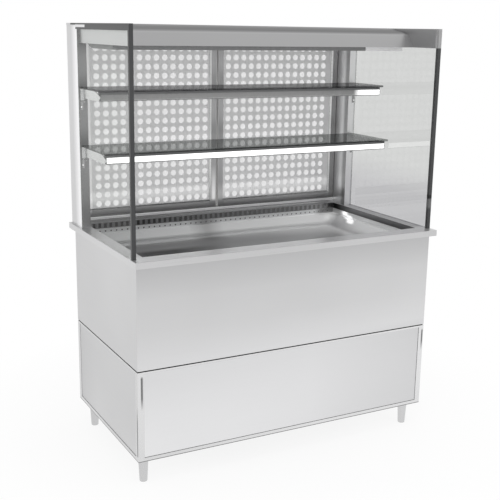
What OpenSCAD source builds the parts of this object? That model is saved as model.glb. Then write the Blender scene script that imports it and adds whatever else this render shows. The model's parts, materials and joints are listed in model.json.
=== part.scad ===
// Refrigerated display case: a stainless cabinet on four feet with an open
// refrigerated well, two glass shelves, glass sides, a canopy and two
// perforated rear doors. Millimetres, +Z up. The origin is on the floor under
// the middle of the whole width and depth, door handles included, and the
// front faces -Y.

/* [Overall] */
// Width of the worktop rim
rim_w = 1380; // [1240:10:1580]
// Depth of the worktop rim from front to rear
rim_d = 790; // [770:5:860]
// Height of the worktop above the floor
rim_top = 900; // [880:5:960]
// Overall height
total_h = 1740; // [1700:5:1860]

/* [Worktop rim] */
// Height of the folded edge of the rim
rim_edge = 25; // [18:1:40]
// Sheet thickness of the rim, body and liner
sheet = 1.5; // [1:0.1:2]
// Overhang of the rim past the body at each side
side_over = 14; // [10:1:30]
// Overhang of the rim past the body at the front
front_over = 31; // [15:1:45]
// Overhang of the rim past the body at the rear
rear_over = 41; // [30:1:50]

/* [Lower frame] */
// Clear height under the lower frame
frame_bottom = 98; // [80:1:130]
// Height of the lower frame
frame_h = 367; // [340:1:380]
// Shadow gap between the lower frame and the body
joint_gap = 4; // [2:0.5:10]
// Side of the square frame tube
tube = 25; // [20:1:30]
// Wall of the frame tube
tube_wall = 1.5; // [1:0.1:2.5]
// Height of the bottom rail that shows below the panels
rail_show = 16; // [12:1:24]
// Height of the top rail that shows above the panels
lip_show = 8; // [5:1:14]
// How far the panels lie behind the face of the frame
panel_setback = 2; // [1:0.5:4]
// Depth of the folded edge of a panel
panel_fold = 12; // [8:1:16]
// Sheet thickness of the panels
panel_sheet = 1.2; // [0.8:0.1:1.6]
// Running gap between a panel and the frame round it
panel_gap = 0.8; // [0.5:0.1:1.5]

/* [Feet] */
// Diameter of a foot at its shoulder
foot_d = 40; // [32:1:50]
// Diameter of a foot at its tip
foot_tip_d = 31; // [24:1:32]
// Diameter of the levelling stud
stud_d = 12; // [8:1:16]
// Length of the levelling stud above the shoulder
stud_len = 45; // [35:1:60]
// Distance of the left feet from the left face of the body
foot_left = 34; // [30:1:60]
// Distance of the right feet from the right face of the body
foot_right = 64; // [30:1:80]
// Distance of the front feet from the front face of the body
foot_front = 38; // [32:1:60]
// Distance of the rear feet from the rear face of the body
foot_rear = 98; // [40:1:110]

/* [Body and well] */
// Wall of the body at the sides, from outside to inside
side_wall = 43; // [35:1:60]
// Wall of the body at the front, from outside to inside
front_wall = 44; // [35:1:60]
// Wall of the body at the rear, from outside to inside
rear_wall = 24; // [22:1:40]
// Thickness of the foam under the well
floor_foam = 40; // [30:1:60]
// Height of the neck between the rim and the display pan
neck_h = 27; // [25:1:36]
// Height of the raised edge of the display pan
pan_upstand = 22; // [18:1:30]
// Width of the flange of the display pan
pan_flange = 14; // [10:1:18]
// Depth of the basin of the display pan below its flange
pan_depth = 51; // [40:1:62]
// Slope of the basin wall above level
pan_slope = 60; // [50:1:70]
// Radius between the basin wall and its floor
pan_fillet = 45; // [24:1:46]
// Corner radius of the basin seen from above
pan_corner = 66; // [64:1:90]
// Sheet thickness of the display pan
pan_sheet = 1.2; // [1:0.1:1.5]
// Clearance of the display pan in the well
pan_clear = 0.5; // [0.3:0.1:1.5]

/* [Air grilles] */
// Pitch of the air slots
slot_pitch = 25.5; // [20:0.5:32]
// Width of an air slot
slot_w = 13; // [8:1:16]
// Height of an air slot
slot_h = 20; // [14:1:21]
// Diameter of the small air holes in the raised edge
air_hole_d = 7; // [4:0.5:10]
// Depth of the air chamber behind a grille
chamber_d = 14.5; // [10:0.5:15]
// Margin of the air slots at each end of the well
air_margin = 21; // [15:1:40]

/* [Columns and side glass] */
// Width of a rear column
col_w = 38; // [30:1:50]
// Depth of a rear column
col_d = 134; // [120:1:150]
// Distance of the columns from the rear edge of the rim
col_rear_gap = 15; // [12:1:25]
// Distance of the columns from the side edge of the rim
col_side_gap = 10; // [6:1:16]
// Sheet thickness of the columns
col_sheet = 1.5; // [1:0.1:2.5]
// Thickness of the side glass
glass_t = 10; // [8:0.5:12]
// Width of the trim that caps the glass edge
trim_w = 16; // [14:1:20]
// Depth of the trim on the front edge of the glass
trim_front = 14; // [10:1:20]
// Height of the trim on the top edge of the glass
trim_top = 24; // [16:1:30]
// Distance of the glass front from the front edge of the rim
glass_front_gap = 43; // [35:1:60]

/* [Canopy] */
// Height of the canopy face at the front
hood_h = 78; // [68:1:95]
// Distance of the lower canopy edge behind the front of the glass
hood_back = 162; // [130:1:180]
// Height of the upright part of the canopy face
hood_face_h = 47; // [40:1:54]
// Lean of the canopy face towards the rear
hood_lean = 36; // [20:1:50]
// Sheet thickness of the canopy
hood_sheet = 2; // [1.2:0.1:2.5]
// Thickness of the cheek plates
cheek_t = 4; // [2:0.5:4]
// Height of the lamp housing under the canopy
lamp_h = 17; // [12:1:20]
// Depth of the lamp housing under the canopy
lamp_d = 285; // [200:5:310]
// Height of the cap over the columns
cap_h = 10; // [8:1:16]

/* [Shelves] */
// Place of the upper shelf, as a share of the height from the worktop to the canopy
upper_shelf_at = 0.7625; // [0.72:0.0025:0.80]
// Place of the lower shelf, as a share of the height from the worktop to the canopy
lower_shelf_at = 0.45; // [0.38:0.01:0.50]
// Depth of the upper shelf
upper_shelf_d = 225; // [180:5:300]
// Depth of the lower shelf
lower_shelf_d = 280; // [200:5:320]
// Thickness of the shelf glass
shelf_t = 8; // [6:0.5:10]
// Gap between the shelf glass and the columns
shelf_gap = 6; // [4:1:12]
// Distance of a light bar behind the front edge of its shelf
bar_back = 13; // [8:1:25]
// Height of a shelf bracket
bracket_h = 38; // [36:1:46]
// Drop of the bracket nose below the shelf
nose_drop = 18; // [12:1:20]
// Length of the curved bracket nose
nose_len = 81; // [60:1:100]
// Plate thickness of a shelf bracket
bracket_t = 2.5; // [2:0.5:4]
// Height of the bracket foot on the column
bracket_foot = 86; // [84:1:110]
// Height of the light bar under a shelf edge
bar_h = 36; // [32:1:40]
// Depth of the light bar
bar_d = 26; // [20:1:34]
// Height of the lit strip of a light bar
strip_h = 22; // [16:1:24]

/* [Rear doors] */
// Width of a door frame bar
stile_w = 31; // [26:1:40]
// Depth of a door
door_t = 32; // [28:1:38]
// Gap between the two doors
door_meet = 10; // [9:0.5:12]
// Gap between a door and the column, sill or header
door_gap = 2.5; // [2:0.5:4]
// Height of the sill
sill_h = 25; // [18:1:30]
// Height of the header
header_h = 38; // [30:1:60]
// Bevel on the inner edge of a door frame
door_bevel = 6; // [3:1:8]
// Pitch of the round holes in the door sheet
hole_pitch = 39; // [34:1:50]
// Diameter of the round holes in the door sheet
hole_d = 26; // [18:1:28]
// Distance of the first column of holes from the meeting stile
hole_first = 22; // [18:1:30]
// Thickness of the perforated sheet
perf_sheet = 1.2; // [0.8:0.1:1.5]
// Depth of the perforated sheet behind the front of the door
perf_back = 9; // [8:1:12]
// Thickness of the door's backing panel
back_panel_t = 16; // [10:1:16]
// Radius of a hinge pin
pin_r = 3; // [2.5:0.1:3.5]
// Height of a hinge
hinge_h = 66; // [54:1:90]
// Length of a door handle
handle_len = 180; // [120:5:260]
// Reach of a door handle behind the door
handle_reach = 38; // [32:1:50]
// Diameter of a door handle
handle_d = 12; // [10:1:16]

/* [Controls] */
// Width of the control panel at the rear
control_w = 350; // [300:5:420]
// Width of the temperature controller
controller_w = 78; // [72:1:90]
// Height of the temperature controller
controller_h = 36; // [32:1:44]
// Side of a controller button
button_s = 9; // [7:0.5:10]
// Travel of a controller button
button_travel = 1.2; // [0.8:0.1:1.4]
// Height of a rocker switch
rocker_h = 26; // [22:1:32]
// Width of a rocker switch
rocker_w = 18; // [14:1:24]
// Tilt of a rocker switch to each side of level
rocker_tilt = 8; // [5:1:10]
// Bore of the cable gland
gland_bore = 9; // [7:0.5:12]

/* [Cooling] */
// Diameter of an evaporator fan
evap_fan_d = 190; // [150:5:200]
// Diameter of the condenser fan
cond_fan_d = 250; // [200:5:260]
// Running gap between a fan and its ring
fan_gap = 4; // [3:0.5:8]
// Diameter of the compressor
comp_d = 180; // [150:5:200]
// Height of the compressor
comp_h = 215; // [180:5:240]
// Number of fins on the evaporator
evap_fins = 46; // [20:1:60]
// Number of fins on the condenser
cond_fins = 34; // [20:1:50]
// Diameter of the refrigerant pipe
pipe_d = 10; // [8:1:14]

/* [Hidden] */
$fn = 48;
eps = 0.01;

steel = [0.80, 0.81, 0.81];
steel_dark = [0.55, 0.56, 0.57];
trim_dark = [0.22, 0.23, 0.24];
plastic_dark = [0.12, 0.12, 0.13];
foam = [0.93, 0.90, 0.78];
glass_tint = [0.80, 0.88, 0.86, 0.35];
white = [0.95, 0.95, 0.95];
copper = [0.78, 0.46, 0.28];
aluminium = [0.75, 0.77, 0.78];

// Places of the cabinet, worked out from the outside inwards
rim_x = rim_w / 2;
handles_out = max(0, handle_reach - col_rear_gap);
rim_front = -(rim_d + handles_out) / 2;
rim_rear = rim_front + rim_d;
body_x = rim_x - side_over;
body_front = rim_front + front_over;
body_rear = rim_rear - rear_over;
frame_top = frame_bottom + frame_h;
body_bottom = frame_top + joint_gap;
rim_under = rim_top - sheet;
well_x = body_x - side_wall;
well_front = body_front + front_wall;
well_rear = body_rear - rear_wall;
liner_floor = body_bottom + sheet + floor_foam + sheet;
pan_top = rim_top - neck_h;
flange_z = pan_top - pan_upstand;
pan_floor = flange_z - pan_depth;
ledge_z = flange_z - pan_sheet;
air_x = well_x - air_margin;
// Height of the air windows in the liner, from just above the pan floor to just below the ledge
window_z0 = pan_floor + 12;
window_z1 = ledge_z - sheet - 5;
slots_n = floor((2 * air_x + slot_pitch - slot_w) / slot_pitch);
slot_z = (pan_top + rim_under) / 2;
air_hole_z = flange_z + pan_upstand * 0.45;

// Places of the lower frame
shelf_set = panel_setback + panel_fold;
panel_z0 = frame_bottom + rail_show + panel_gap;
panel_z1 = frame_top - lip_show - panel_gap;
panel_x = body_x - tube - panel_gap;
panel_y0 = body_front + tube + panel_gap;
panel_y1 = body_rear - tube - panel_gap;
flange_h = 16;
tray_z = frame_bottom + rail_show;
foot_rail_t = 4;
foot_rail_w = 56;
foot_xs = [-body_x + foot_left, body_x - foot_right];
foot_ys = [body_front + foot_front, body_rear - foot_rear];

// Places of the upper case
col_x1 = rim_x - col_side_gap;
col_x0 = col_x1 - col_w;
col_y1 = rim_rear - col_rear_gap;
col_y0 = col_y1 - col_d;
cap_z = total_h - cap_h;
glass_front = rim_front + glass_front_gap;
glass_x = rim_x - trim_w / 2 - 4;
glass_in = glass_x - glass_t / 2;
glass_out = glass_x + glass_t / 2;
trim_in = glass_x - trim_w / 2;
trim_wall = (trim_w - glass_t) / 2;
seat_gap = 0.3;
cheek_x1 = trim_in;
cheek_x0 = trim_in - cheek_t;
hood_x = cheek_x0;
hood_z0 = total_h - hood_h;
hood_y0 = glass_front + hood_back;
lamp_y0 = hood_y0 + 68;
lamp_y1 = lamp_y0 + lamp_d;

// Places of the shelves and their brackets
upper_shelf_z = rim_top + upper_shelf_at * (hood_z0 - rim_top);
lower_shelf_z = rim_top + lower_shelf_at * (hood_z0 - rim_top);
bracket_x0 = glass_in - 10.5;
bracket_x1 = bracket_x0 + bracket_t;
shelf_x = glass_in - 2;
shelf_y1 = col_y0 - shelf_gap;
screw_drop = 74;

// Places of the doors
door_y1 = col_y1;
door_y0 = door_y1 - door_t;
door_x1 = col_x0 - door_gap;
door_x0 = door_meet / 2;
sill_z = rim_top + sill_h;
header_z = cap_z - header_h;
door_z0 = sill_z + door_gap;
door_z1 = header_z - door_gap;
perf_y = door_y0 + perf_back;
panel_y = door_y1 - 2 - back_panel_t;
hinge_x = door_x1 + door_gap / 2;
leaf_t = 2;
knuckle_r = pin_r + 2.5;
hinge_y = door_y1 + knuckle_r;
hinge_zs = [door_z0 + 60, door_z1 - 60 - hinge_h];
pin_clear = 0.05;
knuckle_gap = 0.4;

// Places of the cooling parts
evap_y0 = well_front + 150;
evap_d = 170;
evap_x = well_x - 180;
evap_z0 = liner_floor + 30;
evap_z1 = pan_floor - 85;
fan_plate_y = evap_y0 + evap_d + 30;
evap_fan_z = (evap_z0 + evap_z1) / 2;
evap_fan_x = evap_x * 0.5;
shaft_clear = 0.05;
bay_z = tray_z + sheet;
cond_x = -body_x + 290;
cond_y1 = body_rear - shelf_set - 22;
cond_d = 60;
cond_half = 150;
cond_fan_z = bay_z + 20 + cond_half;
cond_fan_y = cond_y1 - cond_d - 46;
comp_x = body_x - 376;
comp_y = -60;
stub_len = 14;
comp_stub_z = bay_z + 22 + comp_h - 50;
// Where the refrigerant pipes rise into the well, beside the evaporator
riser_x = evap_x + 45;
riser_y = evap_y0 + evap_d / 2;
riser_hole = 2 * pipe_d + 20;
drain_x = -well_x + 170;
drain_y = well_front + 90;
drain_d = 32;
drain_wall = 2;
cond_tray_w = 220;
cond_tray_d = 200;
cond_tray_h = 60;
control_x0 = panel_x - control_w;
box_x0 = control_x0 + 30;
box_w = 250;
box_d = 110;
box_h = 190;
box_wall = 2;
controller_x = control_x0 + 90;
controls_z = panel_z1 - 70;
rear_face = body_rear - panel_setback;
bezel_t = 3;
button_pitch = button_s + 1.5;
button_last = controller_x + controller_w / 2 - 5 - button_s / 2;
button_xs = [for (i = [0:2]) button_last - (2 - i) * button_pitch];
window_x0 = controller_x - controller_w / 2 + 5;
window_x1 = button_xs[0] - button_s / 2 - 2;
rocker_xs = [controller_x + 90, controller_x + 130];
gland_x = control_x0 + control_w - 60;
gland_z = panel_z0 + 50;
lock_nut_h = 5;

// A box between two corners
module box(a, b) {
    translate(a) cube([b[0] - a[0], b[1] - a[1], b[2] - a[2]]);
}

// A rectangular ring in plan between an outer and an inner rectangle
module ring(xo, yo0, yo1, xi, yi0, yi1, z0, z1) {
    difference() {
        box([-xo, yo0, z0], [xo, yo1, z1]);
        box([-xi, yi0, z0 - 1], [xi, yi1, z1 + 1]);
    }
}

// A hollow rectangular tube along one axis, open at both ends
module hollow(a, b, wall, along) {
    inset = [for (i = [0:2]) i == along ? -1 : wall];
    difference() {
        box(a, b);
        box(a + inset, b - inset);
    }
}

// A square with round corners, made of exact arcs
module round_rect(w, h, r) {
    square([w - 2 * r, h], center = true);
    square([w, h - 2 * r], center = true);
    for (x = [-1, 1], y = [-1, 1]) translate([x * (w / 2 - r), y * (h / 2 - r)]) circle(r);
}

module both_sides() {
    children();
    mirror([1, 0, 0]) children();
}

// Pipe of straight runs with ball joints at its bends
module pipe_run(points, d) {
    for (i = [0:len(points) - 2]) {
        a = points[i];
        v = points[i + 1] - a;
        translate(a)
            rotate([0, acos(v[2] / norm(v)), atan2(v[1], v[0])])
                cylinder(d = d, h = norm(v), $fn = 24);
        if (i > 0) translate(a) sphere(d = d, $fn = 24);
    }
}

// LOWER FRAME

// Bottom rail: a tube that shows, with a flange behind it that the panels close on
module frame_rails() {
    z0 = frame_bottom;
    z1 = frame_bottom + rail_show;
    zt = frame_top;
    x = body_x - tube;
    for (face = [[body_front, 1], [body_rear, -1]]) {
        y = face[0];
        s = face[1];
        y_in = y + s * tube;
        y_fl = y + s * shelf_set;
        hollow([-x, min(y, y_in), z0], [x, max(y, y_in), z1], tube_wall, 0);
        box([-x, min(y_fl, y_fl + s * tube_wall), z1], [x, max(y_fl, y_fl + s * tube_wall), z1 + flange_h]);
        box([-x, min(y, y_in), zt - tube_wall], [x, max(y, y_in), zt]);
        box([-x, min(y, y + s * tube_wall), zt - lip_show], [x, max(y, y + s * tube_wall), zt]);
        box([-x, min(y_fl, y_fl + s * tube_wall), zt - lip_show - flange_h],
            [x, max(y_fl, y_fl + s * tube_wall), zt]);
    }
    both_sides() {
        xo = body_x;
        xi = body_x - tube;
        xf = body_x - shelf_set;
        ya = body_front + tube;
        yb = body_rear - tube;
        hollow([xi, ya, z0], [xo, yb, z1], tube_wall, 1);
        box([xf - tube_wall, ya, z1], [xf, yb, z1 + flange_h]);
        box([xi, ya, zt - tube_wall], [xo, yb, zt]);
        box([xo - tube_wall, ya, zt - lip_show], [xo, yb, zt]);
        box([xf - tube_wall, ya, zt - lip_show - flange_h], [xf, yb, zt]);
    }
}

module corner_posts() {
    for (x = [-body_x, body_x - tube], y = [body_front, body_rear - tube])
        hollow([x, y, frame_bottom], [x + tube, y + tube, frame_top], tube_wall, 2);
}

// Flat bars from front to rear that take the studs of the feet
module foot_rails() {
    for (x = foot_xs)
        difference() {
            box([x - foot_rail_w / 2, body_front + tube, frame_bottom],
                [x + foot_rail_w / 2, body_rear - tube, frame_bottom + foot_rail_t]);
            for (y = foot_ys)
                translate([x, y, frame_bottom - 1]) cylinder(d = stud_d + 0.12, h = foot_rail_t + 2);
        }
}

module base_frame() {
    color(steel) {
        difference() {
            union() {
                frame_rails();
                corner_posts();
            }
            for (x = foot_xs, y = foot_ys)
                translate([x, y, frame_bottom - 1]) cylinder(d = stud_d + 0.12, h = rail_show + 2);
        }
        foot_rails();
        // Packing strips that keep the shadow gap under the body
        inset = 8;
        for (y = [body_front + inset, body_rear - inset - 12])
            box([-body_x + inset, y, frame_top - eps], [body_x - inset, y + 12, body_bottom]);
        for (x = [-body_x + inset, body_x - inset - 12])
            box([x, body_front + inset, frame_top - eps], [x + 12, body_rear - inset, body_bottom]);
    }
}

module base_tray() {
    x = body_x - shelf_set - tube_wall;
    y0 = body_front + shelf_set + tube_wall;
    y1 = body_rear - shelf_set - tube_wall;
    post = tube - shelf_set - tube_wall;
    color(steel_dark) difference() {
        box([-x, y0, tray_z], [x, y1, tray_z + sheet]);
        for (sx = [-1, 1], y = [y0 - 1, y1 - post])
            translate([sx * (x - post / 2), y + (post + 1) / 2, tray_z])
                cube([post + 1, post + 1, 10], center = true);
        for (px = foot_xs, py = foot_ys)
            translate([px, py, tray_z - 1]) cylinder(d = stud_d + 2, h = sheet + 2);
        // Air inlet below the condenser fan
        for (i = [0:6])
            translate([cond_x - 100, cond_fan_y - 240 + 24 * i, tray_z - 1]) cube([200, 10, sheet + 2]);
    }
}

// A panel pressed like a shallow tray, lying in the XZ plane with its face at y = 0
module tray_panel(w, h) {
    difference() {
        box([0, 0, 0], [w, panel_fold, h]);
        box([panel_sheet, panel_sheet, panel_sheet], [w - panel_sheet, panel_fold + 1, h - panel_sheet]);
    }
}

module front_panel() {
    color(steel) translate([-panel_x, body_front + panel_setback, panel_z0])
        tray_panel(2 * panel_x, panel_z1 - panel_z0);
}

module side_panels() {
    color(steel) both_sides()
        translate([-body_x + panel_setback, panel_y1, panel_z0]) rotate([0, 0, -90])
            tray_panel(panel_y1 - panel_y0, panel_z1 - panel_z0);
}

// Rear cover with rows of pressed louvres in front of the condenser
module rear_grille_panel() {
    w = control_x0 - panel_gap + panel_x;
    h = panel_z1 - panel_z0;
    louvre_w = 118;
    louvre_gap = 26;
    seat = 1.5;
    cols = floor((w - 60) / (louvre_w + louvre_gap));
    rows = floor((h - 70) / 16);
    x0 = (w - cols * (louvre_w + louvre_gap) + louvre_gap) / 2;
    z0 = (h - (rows - 1) * 16) / 2;
    color(steel) translate([control_x0 - panel_gap, rear_face, panel_z0]) rotate([0, 0, 180]) {
        difference() {
            tray_panel(w, h);
            for (c = [0:cols - 1], r = [0:rows - 1])
                box([x0 + c * (louvre_w + louvre_gap), -1, z0 + r * 16 - 3],
                    [x0 + c * (louvre_w + louvre_gap) + louvre_w, panel_sheet + 1, z0 + r * 16 + 3]);
        }
        for (c = [0:cols - 1], r = [0:rows - 1])
            translate([x0 + c * (louvre_w + louvre_gap) - seat, panel_sheet - 0.15, z0 + r * 16 + 3.8])
                rotate([-52, 0, 0]) translate([0, 0, -panel_sheet])
                    cube([louvre_w + 2 * seat, 9, panel_sheet]);
    }
}

// CONTROLS, on the operator's side

module control_panel() {
    w = control_w - panel_gap;
    color(steel) difference() {
        translate([panel_x, rear_face, panel_z0]) rotate([0, 0, 180])
            tray_panel(w, panel_z1 - panel_z0);
        // Cut-outs for the controller, the two switches and the gland
        box([controller_x - controller_w / 2 + 3, rear_face - 4, controls_z - controller_h / 2 + 3],
            [controller_x + controller_w / 2 - 3, rear_face + 1, controls_z + controller_h / 2 - 3]);
        for (x = rocker_xs)
            box([x - rocker_w / 2 - 1.5, rear_face - 4, controls_z - rocker_h / 2 - 1.5],
                [x + rocker_w / 2 + 1.5, rear_face + 1, controls_z + rocker_h / 2 + 1.5]);
        translate([gland_x, rear_face + 1, gland_z]) rotate([90, 0, 0]) cylinder(d = gland_bore + 7, h = 6);
    }
}

// Housings of the controller and of the two switches
module control_bezels() {
    y0 = rear_face - 18;
    y1 = rear_face + bezel_t;
    color(plastic_dark) {
        difference() {
            union() {
                box([controller_x - controller_w / 2, rear_face, controls_z - controller_h / 2],
                    [controller_x + controller_w / 2, y1, controls_z + controller_h / 2]);
                box([controller_x - controller_w / 2 + 3.3, y0, controls_z - controller_h / 2 + 3.3],
                    [controller_x + controller_w / 2 - 3.3, rear_face, controls_z + controller_h / 2 - 3.3]);
            }
            // Sunk display window beside the buttons
            box([window_x0, y1 - 1, controls_z - 11], [window_x1, y1 + 1, controls_z + 11]);
            for (x = button_xs) box([x - button_s / 2 - 0.3, rear_face - 8, controls_z - button_s / 2 - 0.3],
                [x + button_s / 2 + 0.3, y1 + 1, controls_z + button_s / 2 + 0.3]);
        }
        for (x = rocker_xs) difference() {
            union() {
                box([x - rocker_w / 2 - 4, rear_face, controls_z - rocker_h / 2 - 4],
                    [x + rocker_w / 2 + 4, y1, controls_z + rocker_h / 2 + 4]);
                box([x - rocker_w / 2 - 1.2, y0, controls_z - rocker_h / 2 - 1.2],
                    [x + rocker_w / 2 + 1.2, rear_face, controls_z + rocker_h / 2 + 1.2]);
            }
            box([x - rocker_w / 2, y0 + 1.5, controls_z - rocker_h / 2],
                [x + rocker_w / 2, y1 + 1, controls_z + rocker_h / 2]);
        }
    }
}

// A button cap that stands out of its housing by its travel and a little more
module button(i) {
    y0 = rear_face - 8 + 0.3 + button_travel;
    y1 = rear_face + bezel_t + button_travel + 0.5;
    color([0.75, 0.76, 0.78]) translate([button_xs[i], y1, controls_z]) rotate([90, 0, 0])
        linear_extrude(y1 - y0) round_rect(button_s, button_s, 1.2);
}
module button_set() { button(0); }
module button_up() { button(1); }
module button_down() { button(2); }

// A rocker with a shallow V face, drawn in its off position
module rocker(i) {
    hw = rocker_w / 2 - 0.4;
    hh = rocker_h / 2 - 1.4;
    rise = tan(rocker_tilt) * hh;
    depth = 7;
    color(i == 0 ? [0.16, 0.42, 0.22] : plastic_dark)
        translate([rocker_xs[i], rear_face, controls_z]) rotate([-rocker_tilt, 0, 0])
            rotate([90, 0, 90]) translate([0, 0, -hw]) linear_extrude(2 * hw)
                polygon([[-depth, -hh * 0.62], [-depth, hh * 0.62], [-2, hh], [1.2 + rise, hh],
                    [1.2, 0], [1.2 + rise, -hh], [-2, -hh]]);
}
module power_switch() { rocker(0); }
module light_switch() { rocker(1); }

module cable_gland() {
    color(plastic_dark) translate([gland_x, rear_face, gland_z]) rotate([-90, 0, 0]) difference() {
        union() {
            cylinder(d = gland_bore + 15, h = 5, $fn = 6);
            translate([0, 0, 5]) cylinder(d = gland_bore + 9, h = 4);
            translate([0, 0, 9]) cylinder(d = gland_bore + 12, h = 9, $fn = 6);
            translate([0, 0, 18]) rotate_extrude() polygon([[0, 0], [gland_bore / 2 + 5, 0],
                [gland_bore / 2 + 3, 6], [0, 6]]);
            translate([0, 0, -14]) cylinder(d = gland_bore + 6.6, h = 14 + eps);
            translate([0, 0, -panel_sheet - lock_nut_h])
                cylinder(d = gland_bore + 15, h = lock_nut_h, $fn = 6);
        }
        translate([0, 0, -20]) cylinder(d = gland_bore, h = 60);
    }
}

// FEET

// A tapered foot on a levelling stud, screwed fully in
module foot(ix, iy) {
    r0 = foot_tip_d / 2;
    r1 = foot_d / 2;
    pad = 3;
    shoulder = frame_bottom;
    color(steel) translate([foot_xs[ix], foot_ys[iy], 0]) rotate_extrude() polygon([
        [0, 0], [r0 - pad, 0], [r0 - 0.8, 0.9], [r0, pad],
        [r1, shoulder - 6], [r1, shoulder - 1], [r1 - 1, shoulder],
        [stud_d / 2, shoulder], [stud_d / 2, shoulder + stud_len - 1],
        [stud_d / 2 - 1, shoulder + stud_len], [0, shoulder + stud_len]]);
}
module foot_front_left() { foot(0, 0); }
module foot_front_right() { foot(1, 0); }
module foot_rear_left() { foot(0, 1); }
module foot_rear_right() { foot(1, 1); }

// INSULATED BODY

module body_shell() {
    color(steel) difference() {
        box([-body_x, body_front, body_bottom], [body_x, body_rear, rim_under]);
        box([-body_x + sheet, body_front + sheet, body_bottom + sheet],
            [body_x - sheet, body_rear - sheet, rim_under + 1]);
        translate([drain_x, drain_y, body_bottom - 1]) cylinder(d = drain_d + 1, h = sheet + 2);
        translate([riser_x, riser_y, body_bottom - 1]) cylinder(d = riser_hole, h = sheet + 2);
    }
}

// Air chambers behind the two grilles, from the windows of the liner up to the rim
module air_chamber(y0, y1) {
    box([-air_x, y0, window_z0], [air_x, y1, rim_under + 1]);
}

module insulation() {
    color(foam) difference() {
        box([-body_x + sheet, body_front + sheet, body_bottom + sheet],
            [body_x - sheet, body_rear - sheet, rim_under]);
        box([-well_x - sheet, well_front - sheet, liner_floor - sheet],
            [well_x + sheet, well_rear + sheet, rim_under + 1]);
        air_chamber(well_rear, well_rear + sheet + chamber_d);
        air_chamber(well_front - sheet - chamber_d, well_front);
        translate([drain_x, drain_y, body_bottom - 1]) cylinder(d = drain_d, h = floor_foam + 10);
        translate([riser_x, riser_y, body_bottom - 1]) cylinder(d = riser_hole, h = floor_foam + 10);
    }
}

module well_liner() {
    hole_band = air_hole_d + 3;
    color(steel) {
        difference() {
            box([-well_x - sheet, well_front - sheet, liner_floor - sheet],
                [well_x + sheet, well_rear + sheet, pan_top]);
            box([-well_x, well_front, liner_floor], [well_x, well_rear, pan_top + 1]);
            box([-air_x, well_rear - 1, window_z0], [air_x, well_rear + 5, window_z1]);
            box([-air_x, well_front - 5, window_z0], [air_x, well_front + 1, window_z1]);
            box([-air_x, well_rear - 1, air_hole_z - hole_band / 2],
                [air_x, well_rear + 5, air_hole_z + hole_band / 2]);
            translate([drain_x, drain_y, liner_floor - 5]) cylinder(d = drain_d, h = 10);
            translate([riser_x, riser_y, liner_floor - 5]) cylinder(d = riser_hole, h = 10);
        }
        // Ledge that carries the display pan
        ring(well_x + eps, well_front - eps, well_rear + eps,
            well_x - pan_flange + 2, well_front + pan_flange - 2, well_rear - pan_flange + 2,
            ledge_z - sheet, ledge_z);
    }
}

// WORKTOP RIM

module rim() {
    color(steel) {
        ring(rim_x, rim_front, rim_rear, well_x, well_front, well_rear, rim_under, rim_top);
        ring(rim_x, rim_front, rim_rear, rim_x - sheet, rim_front + sheet, rim_rear - sheet,
            rim_top - rim_edge, rim_top);
        ring(rim_x, rim_front, rim_rear, body_x + seat_gap, body_front - seat_gap, body_rear + seat_gap,
            rim_top - rim_edge, rim_top - rim_edge + sheet);
        // Folded-down sides of the neck
        both_sides() box([well_x, well_front - sheet, pan_top],
            [well_x + sheet, well_rear + sheet, rim_under + eps]);
    }
}

// One strip of the neck with its row of air slots
module slotted_strip(y) {
    x0 = -(slots_n - 1) * slot_pitch / 2;
    difference() {
        box([-well_x, y, pan_top], [well_x, y + sheet, rim_under]);
        for (i = [0:slots_n - 1])
            translate([x0 + i * slot_pitch, y + sheet / 2, slot_z])
                cube([slot_w, sheet + 2, slot_h], center = true);
    }
}

module air_grilles() {
    color(steel_dark) {
        slotted_strip(well_rear);
        slotted_strip(well_front - sheet);
    }
}

// DISPLAY PAN

// Whole micrometres, so that the straight runs and the turned corners of the basin meet exactly
function whole(v) = round(v * 1000) / 1000;

slope_run = (pan_depth - pan_fillet * (1 - cos(pan_slope))) / sin(pan_slope);
basin_inset = whole(slope_run * cos(pan_slope) + pan_fillet * sin(pan_slope));

// Half section of the basin wall, at offset o outside its inner face,
// as [distance in from the edge of the opening, height over the flange]
function basin_path(o) = let (a = pan_slope, s = o * tan(a / 2),
        cx = slope_run * cos(a) + pan_fillet * sin(a), cz = pan_fillet - pan_depth)
    concat([[whole(s * cos(a) - o * sin(a)), -o]],
        [for (i = [0:8]) let (t = a * (1 - i / 8))
            [whole(cx - (pan_fillet + o) * sin(t)), whole(cz - (pan_fillet + o) * cos(t))]]);

function reverse(list) = [for (i = [len(list) - 1:-1:0]) list[i]];

// The section runs on a little way into the flange and into the floor
lap_out = 3;
lap_in = 6;
basin_section = concat([[-lap_out, 0]], basin_path(0),
    [[basin_inset + lap_in, -pan_depth], [basin_inset + lap_in, -pan_depth - pan_sheet]],
    reverse(basin_path(pan_sheet)), [[-lap_out, -pan_sheet]]);

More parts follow.
